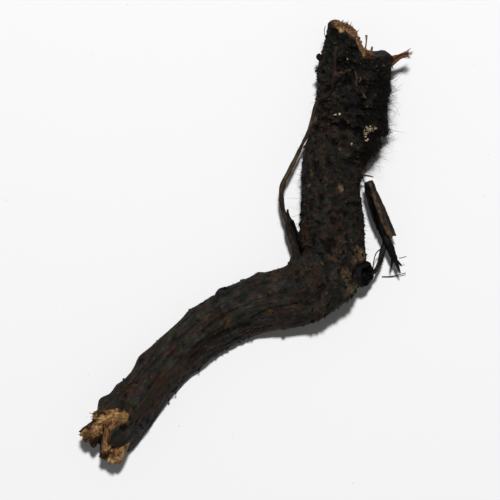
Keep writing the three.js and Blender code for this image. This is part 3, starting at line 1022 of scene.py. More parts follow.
@dataclass
class RootForm:
    """The thick root's spine, swellings, breaks and bark relief. The spine, ledge and knobs
    repeat the solid model's, so that the skin follows it."""

    spine: Spine = field(default_factory=lambda: Spine(ROOT_STATIONS, flank_sag))
    knobs: Rows = (
        (1.65, 70, -1.1, 1.15), (1.3, 150, 0.7, 2.0), (4.1, 182, 0.5, 2.2), (5.0, 175, 1.0, 2.6),
        (9.4, 10, 0.4, 1.6), (11.4, 150, 0.4, 2.2), (12.3, 4, 0.75, 1.3), (13.95, 5, 0.35, 0.8),
        (1.9, 180, -0.45, 1.9), (3.1, 180, -0.45, 1.9), (5.25, 180, -1.25, 2.4),
        (5.25, 148, -0.75, 2.0), (5.25, 210, -0.75, 2.0), (15.2, 2, 0.6, 1.2), (16.3, 0, 0.4, 1.3),
        (17.3, 178, 0.3, 1.2), (18.4, 0, 0.45, 1.4), (19.6, 2, 0.4, 1.3), (20.4, 8, 1.1, 1.6),
    )
    # Rings pinched into the bark: station, how far it wanders, depth and half width in stations.
    creases: Rows = (
        (4.2, 0.12, 0.85, 0.11), (5.1, 0.15, 0.16, 0.05), (5.75, 0.2, 0.14, 0.05),
        (10.3, 0.25, 0.12, 0.06), (15.45, 0.2, 0.30, 0.07), (15.8, 0.15, 0.12, 0.05),
    )
    # The crown's broken edge: share of the half width, and the station where it breaks off.
    crown_edge: Rows = (
        (-1, 1.1), (-0.82, 0.93), (-0.5, 1), (-0.16, 0.96), (-0.05, 0.72), (0.1, 0.35), (0.3, 0.21),
        (0.5, 0.12), (0.9, 0.05), (1, 0.16),
    )
    # Bark torn back from the tip's top: share of the half width, and millimetres.
    bark_torn_back: Rows = (
        (-1, -2), (-0.5, -2), (-0.3, 3.9), (-0.1, 4.6), (0.2, 4.6), (0.6, 3.4), (0.95, 2.2), (1, 0.8),
    )
    ledge_height: float = 0.45
    ledge_station: float = 4.0
    ledge_slope: float = 0.15
    bark_thickness: float = 0.7
    rim_station: float = 21.3

    def crown_break(self, a: Array, b: Array) -> Array:
        """The station where the crown is broken off: a horn on the left, a low shoulder on the right."""
        return np.interp(a, *np.array(self.crown_edge).T) + 0.3 * np.maximum(b, 0)

    def tip_break(self, a: Array, b: Array) -> Array:
        """The station where the wood of the tip is broken off."""
        flap = 0.42 * ramp(-0.75, -0.55, a) * ramp(0.12, 0.0, a) * ramp(0.2, 0.5, b)
        return self.rim_station + 0.05 - 0.12 * a - 0.1 * b + flap

    def torn_back(self, a: Array, b: Array) -> Array:
        """Millimetres by which the bark of the tip is torn back from its rim, most on the top left."""
        top = np.interp(a, *np.array(self.bark_torn_back).T)
        return mix(-0.9, top, ramp(-0.15, 0.25, b))

    def crest(self, a: Array) -> Array:
        """How far the crown's break shows bare wood: only along the slanted part of its edge."""
        return ramp(1.02, 0.85, a) * ramp(-0.5, -0.3, a)

    def distance_to(self, u: Array, angle: Array, knob: tuple[float, ...]) -> Array:
        """Millimetres over the skin to a knob's middle, the shorter way round.

        Args:
            u: station numbers.
            angle: angles round the section.
            knob: the knob's station, angle, height and radius.

        Returns:
            One distance per place.
        """
        s = self.spine.section(u)
        along = np.linalg.norm(s.centre - self.spine.section(np.array(knob[0])).centre, axis=-1)
        turn = np.abs(angle - math.radians(knob[1])) % (2 * np.pi)
        return np.hypot(along, np.minimum(turn, 2 * np.pi - turn) * s.width)

    def knob_lift(self, u: Array, angle: Array) -> Array:
        """Round swellings and pits: each a bell of its distance over the skin."""
        away = [self.distance_to(u, angle, knob) / knob[3] for knob in self.knobs]
        return sum(knob[2] * np.exp(-(distance**2)) for knob, distance in zip(self.knobs, away))

    def relief(self, u: Array, angle: Array) -> tuple[Array, dict[str, Array]]:
        """The bark's relief with what the finish needs to know of it.

        Args:
            u: station numbers.
            angle: angles round the section.

        Returns:
            Millimetres of lift, and per-place values: straightened coordinates, tone, warmth,
            stains with black painted shade, bare wood, hollow as painted shade and how lengthwise the bark
            runs.
        """
        a, b = np.cos(angle), np.sin(angle)
        s = self.spine.section(u)
        run = self.spine.length_at(u)
        q = np.stack([a * s.width, b * s.height, run], axis=-1)
        crown = ramp(self.ledge_station + self.ledge_slope, self.ledge_station - self.ledge_slope, u)
        tap = ramp(11.0, 14.5, u)
        neck = (1 - crown) * (1 - tap)
        long = drawn_out(q, 0.12)

        cloud = layered(q / 2.4, SEED)
        crumbs = 1 - nearest_grain(q / 0.95, SEED + 1)
        scabs = wrinkled(q / 1.5, SEED + 2, 3)
        fine = layered(q / 0.42, SEED + 3, 2)
        furrow = wrinkled(long / 1.7, SEED + 4)
        thread = wrinkled(long / 0.75, SEED + 5)
        pleat = wrinkled(q * np.array([0.35, 0.35, 1.0]) / 0.95, SEED + 6)
        pocket = ramp(-0.05, -0.45, layered(q / 1.35, SEED + 11, 2))
        slit = ramp(-0.05, -0.5, layered(long / 1.1, SEED + 12, 2))

        upper_neck = ramp(8.2, 4.6, u)
        lift = self.ledge_height * crown + self.knob_lift(u, angle)
        rough = crown * (0.50 * cloud + 0.75 * (scabs - 0.5) + 0.45 * (crumbs - 0.4) - 0.85 * pocket)
        rough += neck * (0.22 * cloud + 0.45 * (crumbs - 0.45) + 0.42 * upper_neck * (pleat - 0.5))
        rough += neck * (0.30 * (scabs - 0.5) - 0.45 * pocket)
        rough += tap * (0.18 * cloud + 0.55 * (furrow - 0.65) + 0.26 * (thread - 0.55) - 0.28 * slit)
        lip = np.exp(-(((u - self.crown_break(a, b) - 0.07) / 0.09) ** 2)) * ramp(-0.3, -0.45, a)
        calm = mix(0.32, 1.0, ramp(0.0, 0.6, np.abs(b))) * (1 - 0.7 * lip)
        lift += (rough + 0.10 * fine) * calm + 0.25 * lip
        # hollow is painted shade: darker in the creases between scabs, furrows and threads, in pockets and
        # slits, and below in the pinched rings and round the crown's deep pit.
        hollow = crown * (ramp(0.34, 0.06, scabs) + 0.9 * pocket)
        hollow += neck * (0.7 * ramp(0.25, 0.02, scabs) + 0.8 * pocket)
        hollow += tap * (0.9 * ramp(0.34, 0.05, furrow) + 0.6 * slit + 0.45 * ramp(0.25, 0.03, thread))

        wander = layered(q / 3.0, SEED + 7, 2)
        for station, sway, depth, half in self.creases:
            bell = np.exp(-(((u - station - sway * wander) / half) ** 2))
            lift -= depth * bell * ramp(-0.75, -0.1, wander + 0.35)
            hollow += 1.6 * depth * bell
        hollow += 0.9 * np.exp(-(self.distance_to(u, angle, self.knobs[0]) ** 2))

        flat = self.spine.place(u, a, b)
        wobble = layered(q / 1.1, SEED + 8, 3)
        top = ramp(-0.35, 0.05, b)
        stain = np.zeros((*np.shape(u), 4))
        for patch in PATCHES:
            share = patch.share(flat, wobble) * top
            lift += patch.lift * share
            hollow *= 1 - 0.93 * share
            stain[..., :3] = mix(stain[..., :3], np.array(patch.color), share[..., None])
            stain[..., 3] = np.maximum(stain[..., 3], share)

        from_rim = run - self.spine.length_at(np.full(1, self.rim_station))
        bare_tip = ramp(-0.2, 0.2, from_rim + self.torn_back(a, b) + 0.7 * wobble)
        bare_tip *= ramp(-0.03, 0.05, a - 0.1 - 0.08 * np.minimum(from_rim, 0) - 0.1 * wobble)
        from_break = run - self.spine.length_at(self.crown_break(a, b))
        bare_crown = ramp(0.4, 0.0, from_break + 0.7 * wobble) * ramp(-0.5, -0.2, b) * self.crest(a)
        bare = np.maximum(bare_tip, bare_crown)
        fibres = wrinkled(drawn_out(q, 0.1) / 0.5, SEED + 9)
        lift -= bare_tip * (self.bark_thickness + 0.5 * (1 - fibres))
        lift -= bare_crown * 0.25 * (1 - fibres)

        grit = layered(q / 0.55, SEED + 13, 2)
        tone = 0.22 + 0.65 * wobble + 0.22 * cloud + 0.24 * tap + 0.22 * neck
        tone += 0.6 * (wobble + cloud) * ramp(8.5, 10.0, u) * ramp(15.5, 13.5, u)
        # Its last term is painted shade: the tone drops on the underside.
        tone += 0.95 * grit * (1 - 0.5 * tap) + 0.7 * tap * (thread - 0.45) - 0.1 * ramp(0.1, -0.5, b)
        tone -= 0.35 * ramp(0.3, -0.55, a) * (1 - tap) * ramp(12.0, 10.0, u) + 0.2 * crown
        warmth = 0.35 + 0.6 * layered(drawn_out(q, 0.5) / 2.6, SEED + 10) - 0.25 * crown
        values = {
            "along": q,
            "tone": np.clip(tone, 0, 1),
            "warmth": np.clip(warmth, 0, 0.8),
            "stain": stain,
            "bare": bare,
            "hollow": np.clip(hollow, 0, 1) * (1 - bare),
            "lengthwise": np.maximum(tap, bare),
        }
        return lift, values

    def skin(self, u: Array, angle: Array, lift: Array = 0.0) -> Array:
        """Places on the root's skin, lifted off it by some millimetres."""
        return self.spine.place(u, np.cos(angle), np.sin(angle), self.relief(u, angle)[0] + lift)

    def outwards(self, u: Array, angle: Array) -> Array:
        """The directions straight out of the root.

        Args:
            u: station numbers.
            angle: angles round the section.

        Returns:
            One vector per place, square to the section's oval.
        """
        s = self.spine.section(u)
        across, over = np.cos(angle) / s.width, np.sin(angle) / s.height
        return unit(s.side * across[..., None] + s.up * over[..., None])

    def find(self, x: Array, y: Array) -> tuple[Array, Array]:
        """The station and angle of the skin that lies under each point, seen from above.

        Args:
            x: places across.
            y: places along.

        Returns:
            Station numbers and angles.
        """
        stations, angles = np.linspace(0, self.spine.last, 700), np.radians(np.linspace(2, 178, 89))
        u, angle = np.meshgrid(stations, angles)
        p = self.spine.place(u, np.cos(angle), np.sin(angle), 0.4)[..., :2].reshape(-1, 2)
        away = np.sum((p[None] - np.stack([x, y], axis=-1)[:, None]) ** 2, axis=-1)
        best = np.argmin(away, axis=1)
        return u.ravel()[best], angle.ravel()[best]


@dataclass
class ThickRoot:
    """The skin of the thick root with both broken ends, as one closed grid."""

    form: RootForm
    rows: int = 660
    columns: int = 140
    face_rows: int = 16
    top_crowding: float = 0.33  # how much closer the columns stand on top than underneath

    def build(self, material: Material) -> Object:
        """Makes the piece. Rows near each end close over the broken face, and its depth is torn
        by a noise that is drawn out along the grain.

        Args:
            material: the bark's finish.

        Returns:
            The piece that stands for the thick root.
        """
        form = self.form
        turn = circle(self.columns) + np.pi / self.columns
        angle = turn + self.top_crowding * np.sin(turn) - np.pi / 2
        row = np.arange(self.rows + 2 * self.face_rows + 1)
        ends = np.minimum(row, row[-1] - row) / self.face_rows
        inset = np.minimum(1, np.maximum(ends, 0.02))[:, None]
        share = np.clip((row - self.face_rows) / self.rows, 0, 1)[:, None]
        angle = np.broadcast_to(angle, (len(row), self.columns))
        a, b = inset * np.cos(angle), inset * np.sin(angle)
        ragged = layered(on_circle(7 * inset, angle), SEED + 40, 3)
        start = form.crown_break(a, b) + 0.14 * ragged * mix(0.3, 1.0, ramp(-0.45, -0.2, a))
        stop = form.tip_break(a, b) + 0.20 * ragged
        u = mix(start, stop, share)
        lift, values = form.relief(u, angle)
        on_face = (inset < 1) * np.ones_like(a)
        skin = form.spine.place(u, a, b, lift * inset)
        skin[..., 2] = np.maximum(skin[..., 2], 0.02 * np.abs(layered(skin[..., [0, 1, 0]], SEED)))
        crest = np.where(share < 0.5, form.crest(a) * ramp(-0.7, -0.4, b), 0.9)
        values["bare"] = np.maximum(values["bare"], on_face * ramp(1.0, 0.86, inset) * crest)
        values["hollow"] *= 1 - values["bare"]
        piece = closed_tube(skin, values).piece("thick_root", Slot.ROOT_BARK, material)
        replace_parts(piece, "main_root")
        return piece


# ---------------------------------------------------------------- side limbs


def along_limb(spine: Spine, u: Array, angle: Array, lift: Array = 0.0) -> tuple[Array, Array]:
    """Places on a limb's skin and their straightened coordinates.

    Args:
        spine: the limb's spine.
        u: station numbers.
        angle: angles round the section.
        lift: millimetres off the skin.

    Returns:
        The places and, for the grain, across, over and along in millimetres.
    """
    s = spine.section(u)
    a, b = np.cos(angle), np.sin(angle)
    q = np.stack([a * s.width, b * s.height, np.broadcast_to(spine.length_at(u), a.shape)], axis=-1)
    return spine.place(u, a, b, lift), q


def wrinkled_limb(
    stations: Rows,
    rows: int,
    columns: int,
    depth: float,
    seed: int,
    shade: float = 0.5,
    dim: Rows = ((0,), (0,)),
) -> Shape:
    """A solid limb with lengthwise wrinkles and slow swellings.

    Args:
        stations: its spine's stations.
        rows: rows along it.
        columns: columns round it.
        depth: how deep the wrinkles are, in millimetres.
        seed: picks another pattern.
        shade: how much the patches show.
        dim: stations and how much darker the skin is there.

    Returns:
        The closed shape.
    """
    spine = Spine(stations)
    u = np.linspace(0, spine.last, rows)[:, None] * np.ones(columns)
    angle = np.broadcast_to(circle(columns), u.shape)
    _, q = along_limb(spine, u, angle)
    lift = depth * (wrinkled(drawn_out(q, 0.15) / 0.45, seed) - 0.5 + layered(q / 1.4, seed + 1, 2))
    skin, q = along_limb(spine, u, angle, lift)
    patches = shade * ramp(-0.4, 0.5, layered(q / 1.8, seed + 2, 2))
    return closed_tube(skin, {"along": q, "shade": patches, "hollow": np.interp(u, *dim)})


@dataclass
class BarkSleeve:
    """A torn bark sleeve: a curled wall that covers part of the way round a limb."""

    stations: Sequence[Sequence[float]]
    gap_from: float  # degrees where the split starts
    gap_to: float  # degrees where it ends
    tear: Callable[[Array], Array]  # stations torn off its end at each angle
    seed: int
    wall: float = 0.32
    stripe: float = 100.0  # degrees where its pale stripe lies
    stripe_share: float = 0.9
    # shaded is painted shade: the sleeve darkens beside the split, where its inside lies in shadow.
    shaded: float = 0.8  # how dark it is beside the split
    dulled: float = 0.0  # how dark it is everywhere

    def build(self) -> Shape:
        """Makes the wall: an outer grid with wrinkles, an inner one behind it, and a ragged end.

        Returns:
            The closed wall.
        """
        spine = Spine(self.stations)
        rows, columns = 90, 60
        turn = np.radians(np.linspace(self.gap_to, self.gap_from + 360, columns))
        share = np.linspace(0, 1, rows)[:, None]
        jag = on_circle(3.5, turn)
        stop = spine.last - self.tear(turn) - 0.22 * np.abs(layered(jag * 2, self.seed, 3))
        start = 0.1 * np.abs(layered(jag, self.seed + 1, 2))
        u = mix(start, stop, share) * np.ones(columns)
        angle = turn + 0.16 * layered(np.stack([0 * u, 0 * u, 2.3 * u], axis=-1), self.seed + 2, 2)
        _, q = along_limb(spine, u, angle)
        drawn = drawn_out(q, 0.13)
        lift = 0.20 * (wrinkled(drawn / 0.7, self.seed + 3) - 0.5) + 0.10 * layered(q / 0.9, self.seed + 4)
        thin = self.wall * (0.55 + 0.45 * ramp(0, 0.12, np.minimum(share, 1 - share)))
        outer, q = along_limb(spine, u, angle, lift)
        inner, _ = along_limb(spine, u, angle, lift - thin - 0.06 * wrinkled(drawn / 0.4, self.seed + 5))
        off_stripe = np.degrees(angle) - self.stripe - 18 * layered(q / 1.2, self.seed + 7, 2)
        stripe = np.exp(-((off_stripe / 15) ** 2))
        shade = self.stripe_share * stripe + 0.25 * ramp(-0.1, 0.5, layered(q / 1.5, self.seed + 6, 2))
        # Painted shade beside the split; dulled and the streaks darken the colour over the whole sleeve.
        hollow = self.shaded * ramp(0.1, 0.5, np.cos(angle) + 0.4 * layered(q / 1.3, self.seed + 8, 2))
        streaks = 0.5 * ramp(0.05, 0.5, layered(drawn / 0.6, self.seed + 9, 2))
        hollow = np.maximum(hollow, self.dulled + streaks)
        values = {"along": q, "shade": np.clip(shade, 0, 1), "hollow": np.clip(hollow, 0, 1)}
        return thick_sheet(outer, inner, values)


@dataclass
class SideRoots:
    """The two side roots at the elbow: torn sleeves, wiry and dark cores, and a strand."""

    form: RootForm
    left_sleeve: Rows = (
        (9.8, -3.2, 5.2, 1.15, 1.1), (9.1, -0.9, 5.5, 1.0, 1.0), (8.5, 1.1, 5.6, 0.98, 1.0),
        (8.05, 2.7, 5.7, 0.88, 0.95), (7.8, 4.0, 5.8, 0.66, 0.8), (7.75, 5.9, 5.9, 0.3, 0.5),
    )
    left_core: Rows = (
        (9.0, -2.2, 5.5), (8.35, 1.2, 5.65), (7.6, 3.2, 5.75), (6.9, 5.0, 5.8), (6.45, 7.0, 5.9),
        (6.35, 8.8, 6.0), (6.7, 10.6, 6.0), (7.75, 12.7, 6.1), (9.05, 15.2, 6.4), (10.25, 17.8, 6.9),
        (11.4, 20.2, 7.5),
    )
    left_core_on_crown: Rows = (
        (3.5, 24), (3.1, 36), (2.72, 47), (2.35, 55), (1.85, 57.5), (1.4, 56.5), (1.0, 54),
    )
    # How much darker the rootlet is at each of these stations.
    left_core_darkening: Rows = ((3, 6, 8, 10, 12, 17), (0.5, 0.45, 0.0, 0.0, 0.6, 0.55))
    core_radius: float = 0.34
    right_sleeve: Rows = (
        (21.95, 10.9, 6.6, 0.8, 0.8), (22.75, 8.3, 6.3, 1.15, 0.95), (23.75, 5.6, 6.0, 1.35, 1.05),
        (24.8, 3.0, 5.6, 1.4, 1.1), (25.95, 0.2, 5.2, 1.4, 1.1),
    )
    right_core: Rows = (
        (22.6, 9.0, 6.3, 0.35, 0.35), (23.7, 5.2, 5.9, 0.65, 0.45), (24.5, 2.6, 5.5, 0.75, 0.5),
        (25.35, 0.4, 5.2, 0.75, 0.5), (26.2, -1.7, 4.9, 0.7, 0.48), (26.8, -3.2, 4.8, 0.55, 0.4),
    )
    prongs: tuple[Rows, ...] = (
        ((26.7, -2.5, 4.8, 0.4, 0.35), (27.3, -4.3, 4.7, 0.32, 0.26), (27.85, -5.6, 4.6, 0.07, 0.07)),
        ((26.6, -2.5, 4.8, 0.35, 0.3), (26.25, -4.0, 4.6, 0.24, 0.2), (26.2, -4.95, 4.5, 0.06, 0.06)),
        ((27.1, -3.3, 4.7, 0.25, 0.2), (27.7, -3.9, 4.7, 0.16, 0.14), (28.05, -4.3, 4.8, 0.05, 0.05)),
    )
    strand: Rows = (
        (25.2, 0.6, 5.0, 0.45, 0.35), (24.8, -0.9, 5.0, 0.5, 0.38), (24.4, -2.4, 5.2, 0.45, 0.36),
        (23.9, -3.9, 5.8, 0.4, 0.34), (23.3, -5.0, 6.5, 0.38, 0.32), (22.4, -5.9, 7.0, 0.36, 0.3),
    )

    def build(self, bark: Material, wiry: Material, dark: Material) -> None:
        """Makes both side roots.

        Args:
            bark: the finish of the sleeves and the strand.
            wiry: the rootlet's finish.
            dark: the dark core's finish.
        """
        look = {"stripe": 130, "stripe_share": 0.3, "dulled": 0.4}
        left = BarkSleeve(self.left_sleeve, 12, 82, lambda t: 0.35 + 0.75 * np.cos(t), 301, **look)
        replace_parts(left.build().piece("left_sleeve", Slot.TORN_BARK, bark), "left_side_root_bark")

        stations, degrees = np.array(self.left_core_on_crown).T
        lying = self.form.skin(stations, np.radians(degrees), 0.7 * self.core_radius)
        route = np.concatenate([np.array(self.left_core), lying])
        girth = self.core_radius * np.linspace(1.05, 0.72, len(route))
        flat = np.interp(np.arange(len(route)), [1, 3, 6, 8, 10, 12], [1.0, 1.25, 1.3, 1.1, 1.1, 1.45])
        stations = np.column_stack([route, girth * flat, girth])
        core = wrinkled_limb(stations, 420, 14, 0.09, 320, 0.7, self.left_core_darkening)
        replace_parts(core.piece("wiry_rootlet", Slot.WIRY_CORE, wiry), "left_side_root_core")

        right = BarkSleeve(self.right_sleeve, 12, 76, lambda t: 0.15 + 0.75 * np.maximum(np.cos(t), 0), 340)
        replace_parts(right.build().piece("right_sleeve", Slot.TORN_BARK, bark), "right_side_root_bark")

        prongs = [wrinkled_limb(p, 40, 12, 0.08, 360 + i) for i, p in enumerate(self.prongs)]
        body = wrinkled_limb(self.right_core, 120, 22, 0.2, 350, dim=((2, 5), (0.75, 0.5))).joined(*prongs)
        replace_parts(body.piece("dark_core", Slot.DARK_CORE, dark), "right_side_root_core")

        strand = wrinkled_limb(self.strand, 110, 16, 0.14, 370, 0.5, ((0, 5), (0.4, 0.55)))
        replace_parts(strand.piece("elbow_strand", Slot.WIRY_CORE, bark), "right_side_root_strand")


@dataclass
class ElbowScar:
    """The broken base of the right side root: a rough cup that stands on the elbow."""

    at: tuple[float, float, float] = (20.5, -5.6, 6.6)
    along: tuple[float, float, float] = (0.70, -0.27, 0.66)
    # Radius and height of each ring from the foot, over the rim, down to the bottom of the cup.
    profile: Rows = (
        (2.7, -2.2), (2.6, -0.8), (2.35, 0.4), (2.15, 1.2), (1.95, 1.6), (1.7, 1.65), (1.45, 1.1),
        (1.15, 0.3), (0.7, -0.2), (0.2, -0.3),
    )

    def build(self, material: Material) -> Object:
        """Makes the cup: the profile turned about its axis, roughened, with a jagged rim.

        Args:
            material: its finish.

        Returns:
            The piece.
        """
        rows, columns = 70, 72
        r, h = through(np.array(self.profile), np.linspace(0, len(self.profile) - 1, rows)).T
        turn = circle(columns)
        axis = unit(np.array(self.along))
        side = unit(np.cross(axis, [0, 0, 1.0]))
        up = np.cross(side, axis)
        ring = side * np.cos(turn)[:, None] + up * np.sin(turn)[:, None]
        skin = np.array(self.at) + r[:, None, None] * ring + (h[:, None] * axis)[:, None]
        rough = 0.35 * layered(skin / 1.1, SEED + 60) + 0.25 * (wrinkled(skin / 0.8, SEED + 61) - 0.5)
        rim = ramp(0.9, 2.2, h)[:, None]
        jag = 0.8 * rim * layered(skin / 0.8, SEED + 62)
        skin = skin + rough[..., None] * ring + jag[..., None] * axis
        share = np.arange(rows)[:, None] / rows
        # Painted light and shade: the outside of the cup is paler on its side towards the lamp, and painted
        # shade darkens its far side and, almost to black, the inside of the cup.
        lit_side = ramp(0.6, -0.6, np.cos(turn - 3.6))
        lit = lit_side * np.where(share > 0.55, 0.2, 1)
        shade = np.clip((0.5 + 0.9 * layered(skin / 0.9, SEED + 63)) * lit, 0, 1)
        hollow = np.maximum(0.97 * ramp(0.5, 0.6, share), 0.55 * (1 - lit_side))
        values = {"along": skin, "shade": shade, "hollow": hollow}
        return closed_tube(skin, values).piece("elbow_scar", Slot.DARK_CORE, material)


# ---------------------------------------------------------------- torn wood


@dataclass
class TornTip:
    """Chunks of bare wood that stand out of the broken tip."""

    # Root end, break end, half sizes and painted gap shade of each chunk; the chunks with gap shade are
    # darkened rods that paint the shade in the gaps between the others.
    chunks: tuple[tuple, ...] = (
        ((-25.4, -32.6, 7.6), (-29.4, -35.0, 7.3), 1.3, 1.5, 0.0),
        ((-24.6, -33.2, 8.3), (-25.2, -37.7, 8.0), 1.1, 1.5, 0.0),
        ((-22.3, -35.4, 6.9), (-24.0, -39.6, 6.6), 1.45, 1.6, 0.0),
        ((-21.0, -31.1, 8.9), (-27.3, -31.6, 8.7), 1.6, 1.5, 0.0),
        ((-22.3, -31.0, 6.4), (-25.6, -36.6, 5.6), 2.0, 1.6, 0.8),
        ((-26.0, -33.0, 7.3), (-27.7, -36.7, 6.9), 0.8, 1.0, 0.9),
        ((-24.2, -35.6, 7.3), (-25.9, -38.9, 7.0), 0.65, 1.1, 0.85),
    )
    closing: tuple[float, ...] = (0.9, 0.72, 0.48, 0.22)  # shares of the width over a chunk's broken face

    def build(self, material: Material) -> Object:
        """Makes the chunks: angular rods split along the grain, each broken off unevenly.

        Args:
            material: the torn wood's finish.

        Returns:
            The piece.
        """
        rods = []
        rows, columns = 60, 44
        for number, (foot, head, width, height, gap_shade) in enumerate(self.chunks):
            foot, head = np.array(foot), np.array(head)
            middle = (foot + head) / 2 + [0, 0, 0.2]
            size = np.array([width, height])
            spine = Spine([[*foot, *size], [*middle, *size], [*head, *(0.8 * size)]])
            angle = circle(columns)
            inset = np.concatenate([np.ones(rows - len(self.closing)), self.closing])[:, None]
            torn = layered(on_circle(2.25 * inset, angle), SEED + 70 + number, 3)
            share = np.minimum(1, np.arange(rows) / (rows - 1 - len(self.closing)))[:, None]
            u = share * (spine.last - 0.12 + 0.35 * torn)
            angle = np.broadcast_to(angle, u.shape)
            _, q = along_limb(spine, u, angle)
            seams = wrinkled(drawn_out(q, 0.08) / 0.8, SEED + 80 + number)
            lift = 0.55 * (seams - 0.6) + 0.15 * layered(drawn_out(q, 0.2) / 0.35, SEED + 90 + number)
            s = spine.section(u)
            a, b = inset * np.cos(angle), inset * np.sin(angle)
            skin = spine.place(u, a, b, inset * lift)
            # Painted shade: the seams, each chunk's underside and one flank are darkened, and the pale share
            # is lower in the seams.
            deep = ramp(0.35, 0.0, seams)
            along = np.stack([a * s.width, b * s.height, q[..., 2]], axis=-1) + 7 * number
            shade = np.clip(0.45 + 1.3 * layered(along / 1.3, SEED + 99, 2) - 0.6 * deep, 0, 1)
            # A noise that moves the edge of the painted shade and adds random dark blotches.
            grime_and_shade = layered(skin / 0.9, SEED + 98, 3)
            side = ramp(0.55, -0.1, np.sin(angle) + 0.6 * grime_and_shade)
            side += 0.8 * ramp(0.45, 0.9, np.cos(angle) + 0.5 * grime_and_shade)
            hollow = np.clip(0.75 * side + 0.8 * deep + 0.6 * ramp(0.1, 0.5, grime_and_shade) + gap_shade, 0, 0.93)
            rods.append(closed_tube(skin, {"along": along, "shade": shade, "hollow": hollow}))
        return rods[0].joined(*rods[1:]).piece("torn_tip_wood", Slot.TORN_WOOD, material)


@dataclass
class Splinter:
    """The flat splinter on the crown's right shoulder, frayed at its end."""

    stations: Rows = (
        (24.2, 31.6, 7.6, 1.2, 0.6), (25.6, 32.2, 7.9, 1.0, 0.55), (26.75, 32.75, 8.1, 0.65, 0.45),
        (27.6, 33.2, 8.4, 0.45, 0.34), (28.7, 33.6, 8.6, 0.4, 0.24), (29.5, 33.6, 8.7, 0.35, 0.2),
    )
    fingers: Rows = ((0.0, 0.9, 0.1), (0.3, 0.1, 0.3), (0.2, -0.7, 0.0))  # ways its end parts

    def build(self, material: Material) -> Object:
        """Makes the splinter: fibres that follow its spine side by side and part at its end.

        Args:
            material: the torn wood's finish.

        Returns:
            The piece.
        """
        rng = np.random.default_rng(35)
        spine = Spine(self.stations)
        count, steps = 46, 14
        turn = rng.uniform(0, 2 * np.pi, (count, 1))
        out = np.sqrt(rng.uniform(0.05, 1, (count, 1)))
        stop = spine.last * rng.uniform(0.55, 1.04, (count, 1))
        u = np.linspace(0, 1, steps) * stop
        finger = np.array(self.fingers)[np.arange(count) % len(self.fingers)][:, None]
        path = spine.place(u, out * np.cos(turn + 0.35 * u), out * np.sin(turn + 0.35 * u))
        path += finger * (ramp(2.6, 5.2, u) ** 1.5)[..., None]
        path += 0.16 * layered(np.stack([u, 9 * turn + 0 * u, 0 * u], axis=-1), 401, 2)[..., None]
        radii = rng.uniform(0.07, 0.16, (count, 1)) * (1.1 - 0.75 * np.linspace(0, 1, steps) ** 2)
        fibres = strands(path, radii, rng.uniform(0, 0.6, count), 5)
        piece = fibres.piece("splinter", Slot.TORN_WOOD, material)
        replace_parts(piece, "crown_splinter")
        return piece


# ---------------------------------------------------------------- hairs, fibres and soil


@dataclass
class Tuft:
    """Many thin stalks rooted on the skin between stations and angles."""

    name: str
    count: int
    stations: tuple[float, float]
    degrees: tuple[float, float]
    length: tuple[float, float]
    radius: float
    lean: tuple[float, float, float]  # a direction added to straight out of the skin
    spread: float
    curl: float
    droop: float
    seed: int

    def paths(self, form: RootForm) -> tuple[Array, Array, Array]:
        """Works out the stalks: out from the skin, leaning, bending further with the square of
        the distance, and curling by a sine across.

        Args:
            form: the root they stand on.

        Returns:
            Paths, radii and shades.
        """
        rng = np.random.default_rng(self.seed)
        u = rng.uniform(*self.stations, self.count)
        angle = np.radians(rng.uniform(*self.degrees, self.count))
        foot = form.skin(u, angle, -0.1)
        scatter = self.spread * rng.normal(size=(self.count, 3))
        heading = unit(form.outwards(u, angle) + np.array(self.lean) + scatter)[:, None]
        bend = (rng.normal(size=(self.count, 3)) * self.curl + [0, 0, -self.droop])[:, None]
        t = np.linspace(0, 1, 7)[:, None]
        shortest, longest = self.length
        length = rng.uniform(0, 1, self.count)[:, None, None] ** 1.8 * (longest - shortest) + shortest
        across = unit(rng.normal(size=(self.count, 3)))[:, None]
        wave = across * np.sin(2 * np.pi * t * rng.uniform(0.3, 1.1, (self.count, 1, 1)))
        path = foot[:, None] + length * (heading * t + bend * t**2 + 0.25 * self.curl * wave)
        path[..., 2] = np.maximum(path[..., 2], self.radius)
        radii = self.radius * rng.uniform(0.6, 1.3, (self.count, 1)) * (1.05 - 0.85 * t[:, 0])
        return path, radii, rng.uniform(0, 1, self.count)


# Tufts of hairs, each row as the fields of a tuft.
TUFT_ROWS = (
    ("crown_mat", 1300, (1.9, 5.3), (118, 196), (0.25, 1.5), 0.045, (0.35, -0.15, 0.1), 0.8, 0.9, 0.2, 11),
    ("crown_fringe", 60, (2.4, 5.3), (140, 200), (0.8, 2.4), 0.035, (0.7, -0.2, 0.0), 0.55, 1.0, 0.3, 12),
    ("neck_left_hairs", 44, (4.9, 8.6), (-14, 30), (0.5, 1.7), 0.045, (-0.4, -0.1, 0.2), 0.35, 0.5, 0.1, 13),
    ("neck_right_hairs", 50, (5.6, 10.2), (150, 194), (0.4, 1.5), 0.042, (0.4, 0, 0.1), 0.4, 0.6, 0.1, 14),
    ("crown_left_hairs", 26, (0.4, 4.0), (-10, 30), (0.3, 1.1), 0.028, (-0.3, 0.2, 0.1), 0.5, 0.6, 0.1, 15),
    ("elbow_hairs", 40, (10.0, 13.0), (100, 190), (0.3, 1.3), 0.028, (0.2, 0, 0.2), 0.5, 0.6, 0.1, 16),
    ("taproot_hairs", 50, (13.5, 20.5), (-10, 190), (0.2, 0.7), 0.024, (0, 0, 0), 0.6, 0.6, 0.1, 17),
)
TUFTS = tuple(Tuft(*row) for row in TUFT_ROWS)


